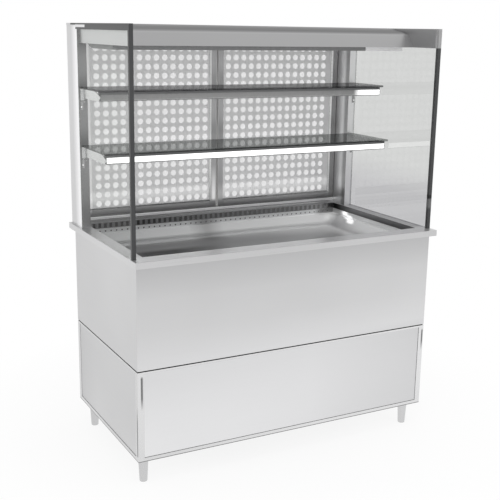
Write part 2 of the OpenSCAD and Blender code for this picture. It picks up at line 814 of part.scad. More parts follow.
module display_pan() {
    x = well_x - pan_clear;
    y0 = well_front + pan_clear;
    y1 = well_rear - pan_clear;
    hx = well_x - pan_clear - pan_flange;
    h0 = y0 + pan_flange;
    h1 = y1 - pan_flange;
    r = pan_corner;
    hole_x0 = -(slots_n - 1) * slot_pitch / 2;
    mid = (h0 + h1) / 2;
    color(steel) {
        // Raised edge, with a row of small air holes at the rear
        difference() {
            ring(x, y0, y1, x - pan_sheet, y0 + pan_sheet, y1 - pan_sheet, ledge_z, pan_top);
            for (i = [0:slots_n - 1])
                translate([hole_x0 + i * slot_pitch, y1 + 1, air_hole_z]) rotate([90, 0, 0])
                    cylinder(d = air_hole_d, h = pan_sheet + 2, $fn = 16);
        }
        // Flange with a round-cornered opening
        difference() {
            box([-x + pan_sheet / 2, y0 + pan_sheet / 2, ledge_z],
                [x - pan_sheet / 2, y1 - pan_sheet / 2, flange_z]);
            translate([0, mid, ledge_z - 1]) linear_extrude(pan_sheet + 2)
                round_rect(2 * hx + lap_out, h1 - h0 + lap_out, r + lap_out / 2);
        }
        // Basin wall: four straight runs and four turned corners
        translate([0, 0, flange_z]) {
            for (side = [[h0, 0], [h1, 180]])
                translate([side[1] == 0 ? -hx + r : hx - r, side[0], 0]) rotate([0, 0, side[1]])
                    rotate([90, 0, 90]) linear_extrude(2 * (hx - r)) polygon(basin_section);
            for (side = [[-hx, -90], [hx, 90]])
                translate([side[0], side[1] < 0 ? h1 - r : h0 + r, 0]) rotate([0, 0, side[1]])
                    rotate([90, 0, 90]) linear_extrude(h1 - h0 - 2 * r) polygon(basin_section);
            for (c = [[1, h1 - r, 0], [-1, h1 - r, 90], [-1, h0 + r, 180], [1, h0 + r, 270]])
                translate([c[0] * (hx - r), c[1], 0]) rotate([0, 0, c[2]]) rotate_extrude(angle = 90)
                    polygon([for (p = basin_section) [r - p[0], p[1]]]);
        }
        // Floor with a strainer over the drain
        difference() {
            translate([0, mid, pan_floor - pan_sheet]) linear_extrude(pan_sheet)
                round_rect(2 * (hx - basin_inset) - lap_in, h1 - h0 - 2 * basin_inset - lap_in,
                    r - basin_inset - lap_in / 2);
            for (i = [0:6]) let (out = i == 0 ? 0 : 14)
                translate([out * cos(60 * i), mid + out * sin(60 * i), pan_floor - 5])
                    cylinder(d = 7, h = 10, $fn = 16);
        }
    }
}

// EVAPORATOR UNDER THE PAN

function evap_tube_y(i) = evap_y0 + evap_d * (i + 0.5) / 3;
function evap_tube_z(j) = evap_z0 + (evap_z1 - evap_z0) * (j + 0.5) / 2;

module evaporator_coil() {
    color(aluminium) {
        for (i = [0:evap_fins - 1]) {
            x = -evap_x + 2 + i * (2 * evap_x - 4) / (evap_fins - 1);
            box([x - 0.4, evap_y0, evap_z0], [x + 0.4, evap_y0 + evap_d, evap_z1]);
        }
        // End plates that stand on the liner
        for (s = [-1, 1])
            box([s * evap_x - 1, evap_y0 - 5, liner_floor],
                [s * evap_x + 1, evap_y0 + evap_d + 5, evap_z1 + 5]);
        for (i = [0:2], j = [0:1])
            translate([-evap_x, evap_tube_y(i), evap_tube_z(j)])
                rotate([0, 90, 0]) cylinder(d = pipe_d, h = 2 * evap_x, $fn = 16);
    }
}

// Upright plate with two round openings and a motor on three arms in each
module evaporator_fan_plate() {
    ring_d = evap_fan_d + 2 * fan_gap;
    color(steel_dark) {
        difference() {
            box([-evap_x, fan_plate_y, liner_floor],
                [evap_x, fan_plate_y + sheet, pan_floor - pan_sheet - 4]);
            for (s = [-1, 1]) translate([s * evap_fan_x, fan_plate_y - 1, evap_fan_z]) rotate([-90, 0, 0])
                cylinder(d = ring_d, h = sheet + 2);
        }
        for (s = [-1, 1]) translate([s * evap_fan_x, fan_plate_y + sheet, evap_fan_z]) rotate([-90, 0, 0]) {
            translate([0, 0, evap_motor_z]) cylinder(d = evap_motor_d, h = evap_motor_l);
            translate([0, 0, 3 + evap_fan_h * bore_from + 0.5])
                cylinder(d = evap_shaft, h = evap_motor_z - 3 - evap_fan_h * bore_from);
            for (a = [90, 210, 330]) rotate([0, 0, a]) {
                translate([20, -6, 38]) cube([ring_d / 2 - 12, 12, 3]);
                translate([ring_d / 2 + 5, -6, -eps]) cube([3, 12, 41 + eps]);
            }
        }
    }
}

// Fan of five pitched blades round a hub with a blind bore, axis along Z
bore_from = 0.3;
evap_fan_h = 26;
evap_motor_z = 31;
evap_motor_d = 70;
evap_motor_l = 34;
evap_shaft = 8;
cond_fan_h = 30;
cond_motor_z = 46;
cond_shaft = 10;

module fan_rotor(d, h, shaft) {
    hub = 0.3 * d;
    difference() {
        union() {
            cylinder(d = hub, h = h);
            intersection() {
                difference() {
                    cylinder(d = d, h = h);
                    translate([0, 0, -1]) cylinder(d = hub - 2, h = h + 2);
                }
                for (i = [0:4]) rotate([0, 0, 72 * i]) translate([0, 0, h / 2]) rotate([32, 0, 0])
                    translate([0, -0.28 * d, -1]) cube([d, 0.56 * d, 2]);
            }
        }
        translate([0, 0, h * bore_from]) cylinder(r = shaft / 2 + shaft_clear, h = h);
    }
}

module evaporator_fan(s) {
    color(plastic_dark) translate([s * evap_fan_x, fan_plate_y + sheet + 3, evap_fan_z]) rotate([-90, 0, 0])
        fan_rotor(evap_fan_d, evap_fan_h, evap_shaft);
}
module evaporator_fan_left() { evaporator_fan(-1); }
module evaporator_fan_right() { evaporator_fan(1); }

module drain_pipe() {
    z0 = bay_z + 40;
    color([0.85, 0.85, 0.83]) translate([drain_x, drain_y, 0]) difference() {
        union() {
            translate([0, 0, z0]) cylinder(d = drain_d - 0.4, h = liner_floor - z0);
            translate([0, 0, liner_floor]) cylinder(d = drain_d + 16, h = 2);
        }
        translate([0, 0, z0 - 1]) cylinder(d = drain_d - 2 * drain_wall - 0.4, h = liner_floor);
    }
}

module condensate_tray() {
    color(steel_dark) translate([drain_x - cond_tray_w / 2, drain_y - cond_tray_d / 4, bay_z]) difference() {
        cube([cond_tray_w, cond_tray_d, cond_tray_h]);
        translate([sheet, sheet, sheet])
            cube([cond_tray_w - 2 * sheet, cond_tray_d - 2 * sheet, cond_tray_h]);
    }
}

// MACHINE BAY

// Welded steel shell on a base plate with rubber feet and a terminal cover
module compressor() {
    r = comp_d / 2;
    z = bay_z + 22;
    color(plastic_dark) translate([comp_x, comp_y, 0]) {
        translate([0, 0, z]) rotate_extrude() union() {
            polygon([[0, 0], [r - 22, 0], [r - 6, 14], [r, 32], [r, comp_h * 0.45], [r + 3, comp_h * 0.45],
                [r + 3, comp_h * 0.45 + 6], [r, comp_h * 0.45 + 6], [r, comp_h - 60], [r - 8, comp_h - 34],
                [r - 26, comp_h - 14], [r - 52, comp_h - 3], [0, comp_h]]);
        }
        translate([-r - 8, -r - 8, z - 4]) cube([comp_d + 16, comp_d + 16, 4.2]);
        for (x = [-1, 1], y = [-1, 1]) translate([x * r, y * r, bay_z]) cylinder(d = 24, h = 18.2);
        translate([-28, -r - 22, z + 60]) cube([56, 40, 62]);
        // Pipe stubs: discharge on the left, suction on the right
        for (stub = [[-r - stub_len, comp_stub_z - 20], [r - 8, comp_stub_z - 60]])
            translate([stub[0], 0, stub[1]]) rotate([0, 90, 0])
                cylinder(d = pipe_d + 4, h = stub_len + 8);
    }
}

function cond_tube_z(i) = bay_z + 20 + 2 * cond_half * (i + 0.5) / 8;

module condenser() {
    x0 = cond_x - cond_half;
    x1 = cond_x + cond_half;
    y0 = cond_y1 - cond_d;
    z0 = bay_z + 20;
    z1 = z0 + 2 * cond_half;
    ring_d = cond_fan_d + 2 * fan_gap;
    color(aluminium) {
        for (i = [0:cond_fins - 1]) {
            x = x0 + 2 + i * (x1 - x0 - 4) / (cond_fins - 1);
            box([x - 0.4, y0, z0], [x + 0.4, cond_y1, z1]);
        }
        for (x = [x0 - 1.5, x1]) box([x, y0 - 2, bay_z], [x + 1.5, cond_y1 + 2, z1 + 2]);
        for (i = [0:7]) translate([x0 - 1, y0 + cond_d / 2, cond_tube_z(i)]) rotate([0, 90, 0])
            cylinder(d = pipe_d, h = x1 - x0 + 2, $fn = 16);
        // Fan shroud with a motor on four arms
        difference() {
            box([x0 - 1.5, y0 - 40, bay_z], [x1 + 1.5, y0 - 1, z1 + 2]);
            box([x0, y0 - 40 + sheet, bay_z - 1], [x1, y0, z1 + 2 - sheet]);
            translate([cond_x, y0 - 50, cond_fan_z]) rotate([-90, 0, 0]) cylinder(d = ring_d, h = 20);
        }
        translate([cond_x, y0 - 40, cond_fan_z]) rotate([90, 0, 0]) {
            translate([0, 0, cond_motor_z]) cylinder(d = 80, h = 45);
            translate([0, 0, 10 + cond_fan_h * bore_from + 0.5])
                cylinder(d = cond_shaft, h = cond_motor_z - 10 - cond_fan_h * bore_from);
            for (a = [45:90:315]) rotate([0, 0, a]) {
                translate([30, -6, 52]) cube([ring_d / 2 - 22, 12, 3]);
                translate([ring_d / 2 + 5, -6, -eps]) cube([3, 12, 55 + eps]);
            }
        }
    }
}

module condenser_fan() {
    color(plastic_dark) translate([cond_x, cond_y1 - cond_d - 40 - 10, cond_fan_z]) rotate([90, 0, 0])
        fan_rotor(cond_fan_d, cond_fan_h, cond_shaft);
}

// Discharge, liquid and suction lines, with the filter drier in the liquid line
module refrigerant_lines() {
    start_x = comp_x - comp_d / 2 - stub_len;
    end_x = comp_x + comp_d / 2 + stub_len;
    cx = cond_x + cond_half + sheet;
    cy = cond_y1 - cond_d / 2;
    top = cond_tube_z(7);
    low = cond_tube_z(0);
    duct = low + 230;
    ex = evap_x + 1;
    color(copper) {
        pipe_run([[start_x, comp_y, comp_stub_z - 20], [start_x - 60, comp_y, comp_stub_z - 20],
            [start_x - 60, comp_y, top], [start_x - 60, cy, top], [cx, cy, top]], pipe_d);
        pipe_run([[cx, cy, low], [cx + 60, cy, low], [cx + 60, cy - 90, low], [cx + 60, cy - 90, duct],
            [cx + 60, riser_y - 10, duct], [riser_x, riser_y - 10, duct],
            [riser_x, riser_y - 10, evap_tube_z(1)], [riser_x, evap_tube_y(0), evap_tube_z(1)],
            [ex, evap_tube_y(0), evap_tube_z(1)]], pipe_d * 0.7);
        translate([cx + 60, cy - 90, low + 60]) cylinder(d = 26, h = 90);
        pipe_run([[end_x, comp_y, comp_stub_z - 60], [end_x + 40, comp_y, comp_stub_z - 60],
            [end_x + 40, comp_y, comp_stub_z + 60], [riser_x, comp_y, comp_stub_z + 60],
            [riser_x, riser_y + 10, comp_stub_z + 60], [riser_x, riser_y + 10, evap_tube_z(0)],
            [riser_x, evap_tube_y(2), evap_tube_z(0)], [ex, evap_tube_y(2), evap_tube_z(0)]], pipe_d);
    }
}

module electrical_box() {
    y1 = rear_face - panel_fold - 14;
    w = box_wall;
    color([0.80, 0.80, 0.78]) difference() {
        box([box_x0, y1 - box_d, bay_z], [box_x0 + box_w, y1, bay_z + box_h]);
        box([box_x0 + w, y1 - box_d + w, bay_z + w], [box_x0 + box_w - w, y1 - w, bay_z + box_h - w]);
    }
}

// COLUMNS AND SIDE GLASS

// A folded column, closed at both ends, with clearance holes for the bracket screws
module column() {
    color(steel) difference() {
        box([col_x0, col_y0, rim_top], [col_x1, col_y1, cap_z]);
        box([col_x0 + col_sheet, col_y0 + col_sheet, rim_top + col_sheet],
            [col_x1 - col_sheet, col_y1 - col_sheet, cap_z - col_sheet]);
        for (z = [upper_shelf_z, lower_shelf_z], dz = [14, screw_drop])
            translate([bracket_x1 + 4.5, col_y0 - 1, z - dz]) rotate([-90, 0, 0])
                cylinder(d = 4.2, h = col_sheet + 2, $fn = 24);
    }
}
module column_right() { column(); }
module column_left() { mirror([1, 0, 0]) column(); }

module side_glass() {
    color(glass_tint) box([glass_in, glass_front + trim_wall, rim_top],
        [glass_out, col_y0 - seat_gap, total_h - trim_wall]);
}
module glass_right() { side_glass(); }
module glass_left() { mirror([1, 0, 0]) side_glass(); }

// Dark edge trims: a channel down the front edge and along the top edge of each glass
module glass_trims() {
    y1 = col_y0 - seat_gap;
    color(trim_dark) both_sides() difference() {
        union() {
            box([trim_in, glass_front, rim_top], [trim_in + trim_w, glass_front + trim_front, total_h]);
            box([trim_in, glass_front, total_h - trim_top], [trim_in + trim_w, y1, total_h]);
        }
        box([glass_in, glass_front + trim_wall, rim_top - 1], [glass_out, y1 + 1, total_h - trim_wall]);
    }
}

// CANOPY

// Outer line of the canopy, from its lower front edge over the round brow to the top
brow_y = hood_y0 + hood_lean;
brow_z = hood_z0 + hood_face_h;
brow_run = 58;
brow_rise = 20;
brow_slope = 70;
hood_y1 = col_y0 - seat_gap;
function brow(w) = [for (i = [0:8]) let (t = 90 * i / 8)
    [brow_y + brow_run - (brow_run - w) * cos(t), brow_z - 0.2 * w + (brow_rise - 0.9 * w) * sin(t)]];
function hood_line(w) = concat([[hood_y0 + 1.4 * w, hood_z0 + w]], brow(w),
    [[brow_y + brow_run + brow_slope, total_h - w], [hood_y1 - w, total_h - w], [hood_y1 - w, hood_z0 + w]]);

// Front, top, floor and rear sheet as one closed section
module canopy_hood() {
    color(steel) rotate([90, 0, 90]) translate([0, 0, -hood_x]) linear_extrude(2 * hood_x) difference() {
        polygon(hood_line(0));
        polygon(hood_line(hood_sheet));
    }
}

module canopy_cheeks() {
    color(steel) both_sides()
        box([cheek_x0, glass_front + trim_front, hood_z0], [cheek_x1, col_y0 - seat_gap, total_h]);
}

// Cap that ties the two columns and the header together
module canopy_cap() {
    color(steel) difference() {
        box([-col_x1, col_y0, cap_z], [col_x1, col_y1 + 4, total_h]);
        box([-col_x1 + col_sheet, col_y0 + col_sheet, cap_z - 1],
            [col_x1 - col_sheet, col_y1 + 4 - col_sheet, total_h - col_sheet]);
    }
}

// Lamp housing under the canopy, with a chamfered rear edge
module canopy_lamp() {
    w = 2 * hood_x - 6;
    color(trim_dark) rotate([90, 0, 90]) translate([0, 0, -w / 2]) difference() {
        linear_extrude(w) polygon([[lamp_y0, hood_z0], [lamp_y0, hood_z0 - lamp_h],
            [lamp_y1 - 46, hood_z0 - lamp_h], [lamp_y1, hood_z0]]);
        translate([0, 0, 2]) linear_extrude(w - 4) polygon([[lamp_y0 + 2, hood_z0 - 2],
            [lamp_y0 + 2, hood_z0 - lamp_h + 2], [lamp_y1 - 47, hood_z0 - lamp_h + 2],
            [lamp_y1 - 8, hood_z0 - 2]]);
        // Opening for the diffuser
        translate([lamp_y0 + 14, hood_z0 - lamp_h - 1, 12]) cube([60, 4, w - 24]);
    }
}

// SHELVES

module glass_shelves() {
    color(glass_tint) for (s = [[upper_shelf_z, upper_shelf_d], [lower_shelf_z, lower_shelf_d]])
        box([-shelf_x, shelf_y1 - s[1], s[0]], [shelf_x, shelf_y1, s[0] + shelf_t]);
}

// Outline of a bracket in the YZ plane, with its top rear corner at the origin:
// a nose that droops in a long arc to a round tip, and a tail that steps down
module bracket_outline(reach) {
    h = bracket_h;
    tip = h - nose_drop;
    nose_r = (nose_len * nose_len + nose_drop * nose_drop) / (2 * nose_drop);
    tail_w = 46;
    tail_h = 16;
    intersection() {
        union() {
            translate([-reach + tip, -h]) square([reach - tip, h]);
            translate([-reach + tip, -nose_drop]) circle(r = tip);
            difference() {
                translate([-tail_w, -h - tail_h]) square([tail_w, tail_h + eps]);
                translate([-tail_w, -h - tail_h]) circle(r = tail_h);
            }
        }
        union() {
            translate([-reach + nose_len, -2 * h]) square([reach, 2 * h]);
            translate([-reach + nose_len, -nose_r]) circle(r = nose_r, $fn = 240);
        }
    }
}

module shelf_bracket(z, d) {
    reach = d + shelf_gap - seat_gap - bar_back;
    translate([bracket_x0, col_y0 - seat_gap, z]) rotate([90, 0, 90]) linear_extrude(bracket_t)
        bracket_outline(reach);
    // Foot on the face of the column, with two screw heads
    difference() {
        box([bracket_x0, col_y0 - bracket_t - seat_gap, z - bracket_foot],
            [glass_in - 0.5, col_y0 - seat_gap, z]);
        for (dz = [14, screw_drop]) translate([bracket_x1 + 4.5, col_y0 - 10, z - dz]) rotate([-90, 0, 0])
            cylinder(d = 4.2, h = 20, $fn = 24);
    }
}

module bracket_screw(z) {
    for (dz = [14, screw_drop])
        translate([bracket_x1 + 4.5, col_y0 - seat_gap - bracket_t, z - dz]) {
            rotate([-90, 0, 0]) cylinder(d = 4, h = 12, $fn = 24);
            rotate([90, 0, 0]) cylinder(d1 = 6.6, d2 = 5, h = 1.8, $fn = 24);
        }
}

module shelf_brackets() {
    color(steel) both_sides() {
        shelf_bracket(upper_shelf_z, upper_shelf_d);
        shelf_bracket(lower_shelf_z, lower_shelf_d);
        bracket_screw(upper_shelf_z);
        bracket_screw(lower_shelf_z);
    }
}

// Light bar under the front edge of a shelf: a folded channel with an open front slot
module light_bar(z, d) {
    y0 = shelf_y1 - d + bar_back;
    x = bracket_x0 - seat_gap;
    wall = 1.5;
    lip = (bar_h - strip_h) - 3;
    color(steel_dark) difference() {
        box([-x, y0, z - bar_h], [x, y0 + bar_d, z]);
        box([-x + wall, y0 + wall, z - bar_h + wall], [x - wall, y0 + bar_d - wall, z - wall]);
        box([-x + wall, y0 - 1, z - bar_h + 3], [x - wall, y0 + wall + 1, z - lip]);
    }
}
module upper_light_bar() { light_bar(upper_shelf_z, upper_shelf_d); }
module lower_light_bar() { light_bar(lower_shelf_z, lower_shelf_d); }

// The two lit strips of the light bars and the one of the canopy lamp
module light_diffusers() {
    x = bracket_x0 - seat_gap - 1.5;
    lip = (bar_h - strip_h) - 3;
    w = 2 * hood_x - 6 - 24;
    color(white) {
        for (s = [[upper_shelf_z, upper_shelf_d], [lower_shelf_z, lower_shelf_d]])
            let (y = shelf_y1 - s[1] + bar_back)
                box([-x, y + 0.2, s[0] - bar_h + 3], [x, y + 3, s[0] - lip]);
        box([-w / 2, lamp_y0 + 14, hood_z0 - lamp_h], [w / 2, lamp_y0 + 74, hood_z0 - lamp_h + 2]);
    }
}

// REAR DOORS

// Sill with a raised front lip, and the header over the doors
module door_surround() {
    x = col_x0 - seat_gap;
    lip = 5;
    color(steel) {
        rotate([90, 0, 90]) translate([0, 0, -x]) linear_extrude(2 * x)
            polygon([[door_y0 - 8, rim_top], [door_y1, rim_top], [door_y1, sill_z], [door_y0 - 2, sill_z],
                [door_y0 - 4, sill_z - 1], [door_y0 - lip, sill_z - 4], [door_y0 - lip, sill_z - 13],
                [door_y0 - 8, sill_z - 16]]);
        box([-x, door_y0, header_z], [x, door_y1, cap_z]);
    }
}

// Cross section of a door frame bar: across from the outer edge, then depth from the front face
module bar_section() {
    wall = 1.6;
    difference() {
        polygon([[0, 0], [stile_w - door_bevel, 0], [stile_w, door_bevel], [stile_w, door_t],
            [0, door_t]]);
        polygon([[wall, wall], [stile_w - door_bevel - wall * 0.4, wall],
            [stile_w - wall, door_bevel + wall * 0.4], [stile_w - wall, perf_back - 1.2],
            [stile_w - 6, perf_back - 1.2], [stile_w - 6, door_t - wall], [wall, door_t - wall]]);
    }
}

// One mitred bar of length len along X, its outer edge on z = 0 and its front face on y = 0.
// It runs a hair past the mitre, so that the four bars weld into one frame.
module mitred_bar(len) {
    lap = 0.1;
    past = stile_w + 1;
    intersection() {
        rotate([90, 0, 90]) linear_extrude(len) mirror([1, -1, 0]) bar_section();
        translate([0, door_t + 1, 0]) rotate([90, 0, 0]) linear_extrude(door_t + 2)
            polygon([[-lap, 0], [len + lap, 0], [len - past + lap, past], [past - lap, past]]);
    }
}

// Moving knuckle and leaf of a hinge, on the rear face of a door
module moving_leaf(z) {
    third = hinge_h / 3;
    difference() {
        union() {
            box([hinge_x - 34, door_y1, z + third + knuckle_gap],
                [hinge_x, door_y1 + leaf_t, z + 2 * third - knuckle_gap]);
            translate([hinge_x, hinge_y, z + third + knuckle_gap])
                cylinder(r = knuckle_r, h = third - 2 * knuckle_gap);
        }
        translate([hinge_x, hinge_y, z - 1]) cylinder(r = pin_r + pin_clear, h = hinge_h + 2);
    }
}

module door_frame() {
    w = door_x1 - door_x0;
    h = door_z1 - door_z0;
    color(steel) {
        difference() {
            translate([door_x0, door_y0, door_z0]) {
                mitred_bar(w);
                translate([w, 0, h]) rotate([0, 180, 0]) mitred_bar(w);
                translate([0, 0, h]) rotate([0, 90, 0]) mitred_bar(h);
                translate([w, 0, 0]) rotate([0, -90, 0]) mitred_bar(h);
            }
            // Groove that holds the perforated sheet, and the seat of the backing panel
            box([door_x0 + stile_w - 3.2, perf_y - 0.05, door_z0 + stile_w - 3.2],
                [door_x1 - stile_w + 3.2, perf_y + perf_sheet + 0.05, door_z1 - stile_w + 3.2]);
        }
        for (z = hinge_zs) moving_leaf(z);
    }
}

// Perforated sheet: rows and columns of round holes with whole margins
module door_sheet() {
    x0 = door_x0 + stile_w - 3;
    x1 = door_x1 - stile_w + 3;
    z0 = door_z0 + stile_w - 3;
    z1 = door_z1 - stile_w + 3;
    margin = 5;
    cols = floor((x1 - x0 - 6 - hole_first - margin - hole_d / 2) / hole_pitch) + 1;
    rows = floor((z1 - z0 - 6 - 2 * margin - hole_d) / hole_pitch) + 1;
    first_x = x0 + 3 + hole_first;
    first_z = z0 + 3 + (z1 - z0 - 6 - (rows - 1) * hole_pitch) / 2;
    color(steel) translate([0, perf_y + perf_sheet, 0]) rotate([90, 0, 0]) linear_extrude(perf_sheet)
        difference() {
            translate([x0, z0]) square([x1 - x0, z1 - z0]);
            for (i = [0:cols - 1], j = [0:rows - 1])
                translate([first_x + i * hole_pitch, first_z + j * hole_pitch])
                    circle(d = hole_d, $fn = 32);
        }
}

module door_panel() {
    x0 = door_x0 + stile_w;
    x1 = door_x1 - stile_w;
    z0 = door_z0 + stile_w;
    z1 = door_z1 - stile_w;
    color(white) box([x0, panel_y, z0], [x1, panel_y + back_panel_t, z1]);
}

// Seal round the edges of a door; on the left door it also closes the meeting gap
module door_gasket(meet) {
    t = 1.6;
    ya = door_y0 + 4;
    yb = door_y0 + 12;
    xa = door_x0 - meet;
    color([0.82, 0.82, 0.80]) difference() {
        box([xa, ya, door_z0 - t], [door_x1 + t, yb, door_z1 + t]);
        box([door_x0 - (meet > 0 ? 0 : 2), ya - 1, door_z0], [door_x1, yb + 1, door_z1]);
    }
}

// Bow handle on the rear face near the meeting edge
module door_handle() {
    x = door_x0 + stile_w / 2;
    z = (door_z0 + door_z1) / 2 - 60;
    y = door_y1 + handle_reach - handle_d / 2;
    color(steel) {
        pipe_run([[x, door_y1 + 2, z], [x, y, z], [x, y, z + handle_len],
            [x, door_y1 + 2, z + handle_len]], handle_d);
        for (dz = [0, handle_len])
            translate([x, door_y1, z + dz]) rotate([-90, 0, 0]) cylinder(d = handle_d + 8, h = 3);
    }
}

module right_door_frame() { door_frame(); }
module right_door_sheet() { door_sheet(); }
module right_door_panel() { door_panel(); }
module right_door_gasket() { door_gasket(0); }
module right_door_handle() { door_handle(); }
module left_door_frame() { mirror([1, 0, 0]) door_frame(); }
module left_door_sheet() { mirror([1, 0, 0]) door_sheet(); }
module left_door_panel() { mirror([1, 0, 0]) door_panel(); }
module left_door_gasket() { mirror([1, 0, 0]) door_gasket(door_meet - 1.5); }
module left_door_handle() { mirror([1, 0, 0]) door_handle(); }

// Fixed leaves with two knuckles each, and the pins that stand in them
module door_hinges() {
    third = hinge_h / 3;
    color(steel) both_sides() for (z = hinge_zs) {
        for (dz = [0, 2 * third]) {
            translate([hinge_x, hinge_y, z + dz]) cylinder(r = knuckle_r, h = third);
            box([hinge_x, door_y1, z + dz], [hinge_x + 30, door_y1 + leaf_t, z + dz + third]);
        }
        translate([hinge_x, hinge_y, z - 3]) cylinder(r = pin_r, h = hinge_h + 6);
        box([hinge_x + knuckle_r + 2, door_y1, z], [hinge_x + 30, door_y1 + leaf_t, z + hinge_h]);
    }
}

base_frame();
base_tray();
front_panel();
side_panels();
rear_grille_panel();
control_panel();
control_bezels();
button_set();
button_up();
button_down();
power_switch();
light_switch();
cable_gland();
foot_front_left();
foot_front_right();
foot_rear_left();
foot_rear_right();
body_shell();
insulation();
well_liner();
rim();
air_grilles();
display_pan();
evaporator_coil();
evaporator_fan_plate();
evaporator_fan_left();
evaporator_fan_right();
drain_pipe();
condensate_tray();
compressor();
condenser();
condenser_fan();
refrigerant_lines();
electrical_box();
column_left();
column_right();
glass_left();
glass_right();
glass_trims();
canopy_hood();
canopy_cheeks();
canopy_cap();
canopy_lamp();
glass_shelves();
shelf_brackets();
upper_light_bar();
lower_light_bar();
light_diffusers();
door_surround();
door_hinges();
left_door_frame();
left_door_sheet();
left_door_panel();
left_door_gasket();
left_door_handle();
right_door_frame();
right_door_sheet();
right_door_panel();
right_door_gasket();
right_door_handle();
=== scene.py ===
# %% [markdown]
# A refrigerated display case for a canteen counter. The construction is finished:
# every sheet, tube and glass arrives as a fixed node at its real size. This lesson
# dresses it. It rounds the bent edges that a folding press leaves, gives each metal,
# glass and plastic its finish, and sets up a plain photo studio round it.

# %% Tools and frame
import json
import math

import bpy
from mathutils import Matrix, Vector

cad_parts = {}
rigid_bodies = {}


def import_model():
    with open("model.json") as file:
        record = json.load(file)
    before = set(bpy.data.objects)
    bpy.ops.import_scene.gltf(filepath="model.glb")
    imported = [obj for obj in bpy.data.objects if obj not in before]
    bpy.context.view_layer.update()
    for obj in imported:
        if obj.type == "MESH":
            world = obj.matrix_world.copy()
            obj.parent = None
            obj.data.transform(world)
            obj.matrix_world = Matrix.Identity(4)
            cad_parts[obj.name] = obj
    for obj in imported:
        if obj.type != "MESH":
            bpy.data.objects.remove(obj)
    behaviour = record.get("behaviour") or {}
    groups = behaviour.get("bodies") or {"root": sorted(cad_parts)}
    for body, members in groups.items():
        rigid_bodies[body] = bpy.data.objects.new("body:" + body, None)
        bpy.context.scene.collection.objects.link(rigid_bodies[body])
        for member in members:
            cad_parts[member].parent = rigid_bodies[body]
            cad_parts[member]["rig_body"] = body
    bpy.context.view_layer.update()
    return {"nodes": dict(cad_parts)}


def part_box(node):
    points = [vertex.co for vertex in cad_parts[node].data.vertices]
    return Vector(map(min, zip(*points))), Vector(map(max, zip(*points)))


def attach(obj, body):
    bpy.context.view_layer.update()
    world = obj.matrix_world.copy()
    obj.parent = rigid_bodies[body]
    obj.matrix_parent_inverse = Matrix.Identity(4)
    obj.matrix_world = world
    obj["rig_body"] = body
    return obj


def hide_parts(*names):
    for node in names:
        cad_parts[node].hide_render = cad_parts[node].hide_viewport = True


for thing in list(bpy.data.objects):
    bpy.data.objects.remove(thing)
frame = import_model()
nodes = frame["nodes"]

# %% [markdown]
# The camera stands to the left of the case, at the eye height of an adult, and looks
# slightly down. A lens of about 66 mm on a 36 mm sensor keeps the tall box calm,
# with only a little convergence of its uprights.

# %% Camera
CAMERA_PLACE = (-1.8413, -3.4055, 1.7282)
CAMERA_YAW = math.radians(28.371)
CAMERA_DOWN = math.radians(13.609)
CAMERA_ROLL = math.radians(0.959)
LENS = 65.77
SENSOR_WIDTH = 36
FARTHEST_SEEN = 60

bpy.ops.object.camera_add(location=CAMERA_PLACE)
camera = bpy.context.active_object
camera.name = "studio_camera"
camera.data.lens = LENS
camera.data.sensor_width = SENSOR_WIDTH
turn = (Matrix.Rotation(-CAMERA_YAW, 4, "Z")
        @ Matrix.Rotation(math.pi / 2 - CAMERA_DOWN, 4, "X")
        @ Matrix.Rotation(CAMERA_ROLL, 4, "Z"))
camera.matrix_world = Matrix.Translation(CAMERA_PLACE) @ turn
camera.data.clip_end = FARTHEST_SEEN
bpy.context.scene.camera = camera
print("camera at", CAMERA_PLACE, "with a lens of", LENS, "mm")

# %% [markdown]
# A finish in Blender is a small graph of nodes. The same few nodes come back in every
# finish on this case, and to place and link each one by hand takes several lines. So
# a few helpers make them: an empty material, a node, a sum or product, a value moved
# to another range, and a mix of two shaders or of two colours.

# %% Helpers for node graphs
WHITE = (1, 1, 1, 1)


def new_material(name):
    """An empty node material, its tree and its Principled shader"""
    material = bpy.data.materials.new(name)
    material.use_nodes = True
    return material, material.node_tree, material.node_tree.nodes["Principled BSDF"]


def add_node(tree, kind, **values):
    """A node with its plain properties set"""
    node = tree.nodes.new(kind)
    for key, value in values.items():
        setattr(node, key, value)
    return node


def combine(tree, operation, first, second, clamp=False):
    """A sum, difference, product or maximum of two values, each a socket or a number"""
    node = add_node(tree, "ShaderNodeMath", operation=operation, use_clamp=clamp)
    for socket, value in zip(node.inputs, (first, second)):
        if isinstance(value, (int, float)):
            socket.default_value = value
        else:
            tree.links.new(value, socket)
    return node.outputs["Value"]


def new_range(tree, source, old, new=(0.0, 1.0)):
    """A value moved from its old range to a new one, and held inside it"""
    node = add_node(tree, "ShaderNodeMapRange")
    for key, value in zip(("From Min", "From Max", "To Min", "To Max"), (*old, *new)):
        node.inputs[key].default_value = value
    tree.links.new(source, node.inputs["Value"])
    return node.outputs["Result"]


def mix_shaders(tree, share, first, second):
    """The first shader where the share is zero, the second where it is one"""
    node = add_node(tree, "ShaderNodeMixShader")
    tree.links.new(share, node.inputs["Fac"])
    tree.links.new(first, node.inputs[1])
    tree.links.new(second, node.inputs[2])
    return node.outputs["Shader"]


def blend(tree, share, colour, tone):
    """A colour where the share is zero, and a plain tone where it is one"""
    mixed = add_node(tree, "ShaderNodeMix", data_type="RGBA")
    mixed.inputs["B"].default_value = tone
    tree.links.new(share, mixed.inputs["Factor"])
    tree.links.new(colour, mixed.inputs["A"])
    return mixed.outputs["Result"]


print("graph helpers ready")

# %% [markdown]
# No sheet or moulding has one even tone. Pictures could carry its small changes, but
# they need unwrapping and show their pixels near by. Noise that reads the object's
# own coordinates stays sharp and fits every piece, so here it drives the tone, the
# roughness and the fine relief alike.

# %% Noise, tone and relief
NOISE_RANGE = (0.3, 0.7)
GRAIN_DEPTH = 0.0002


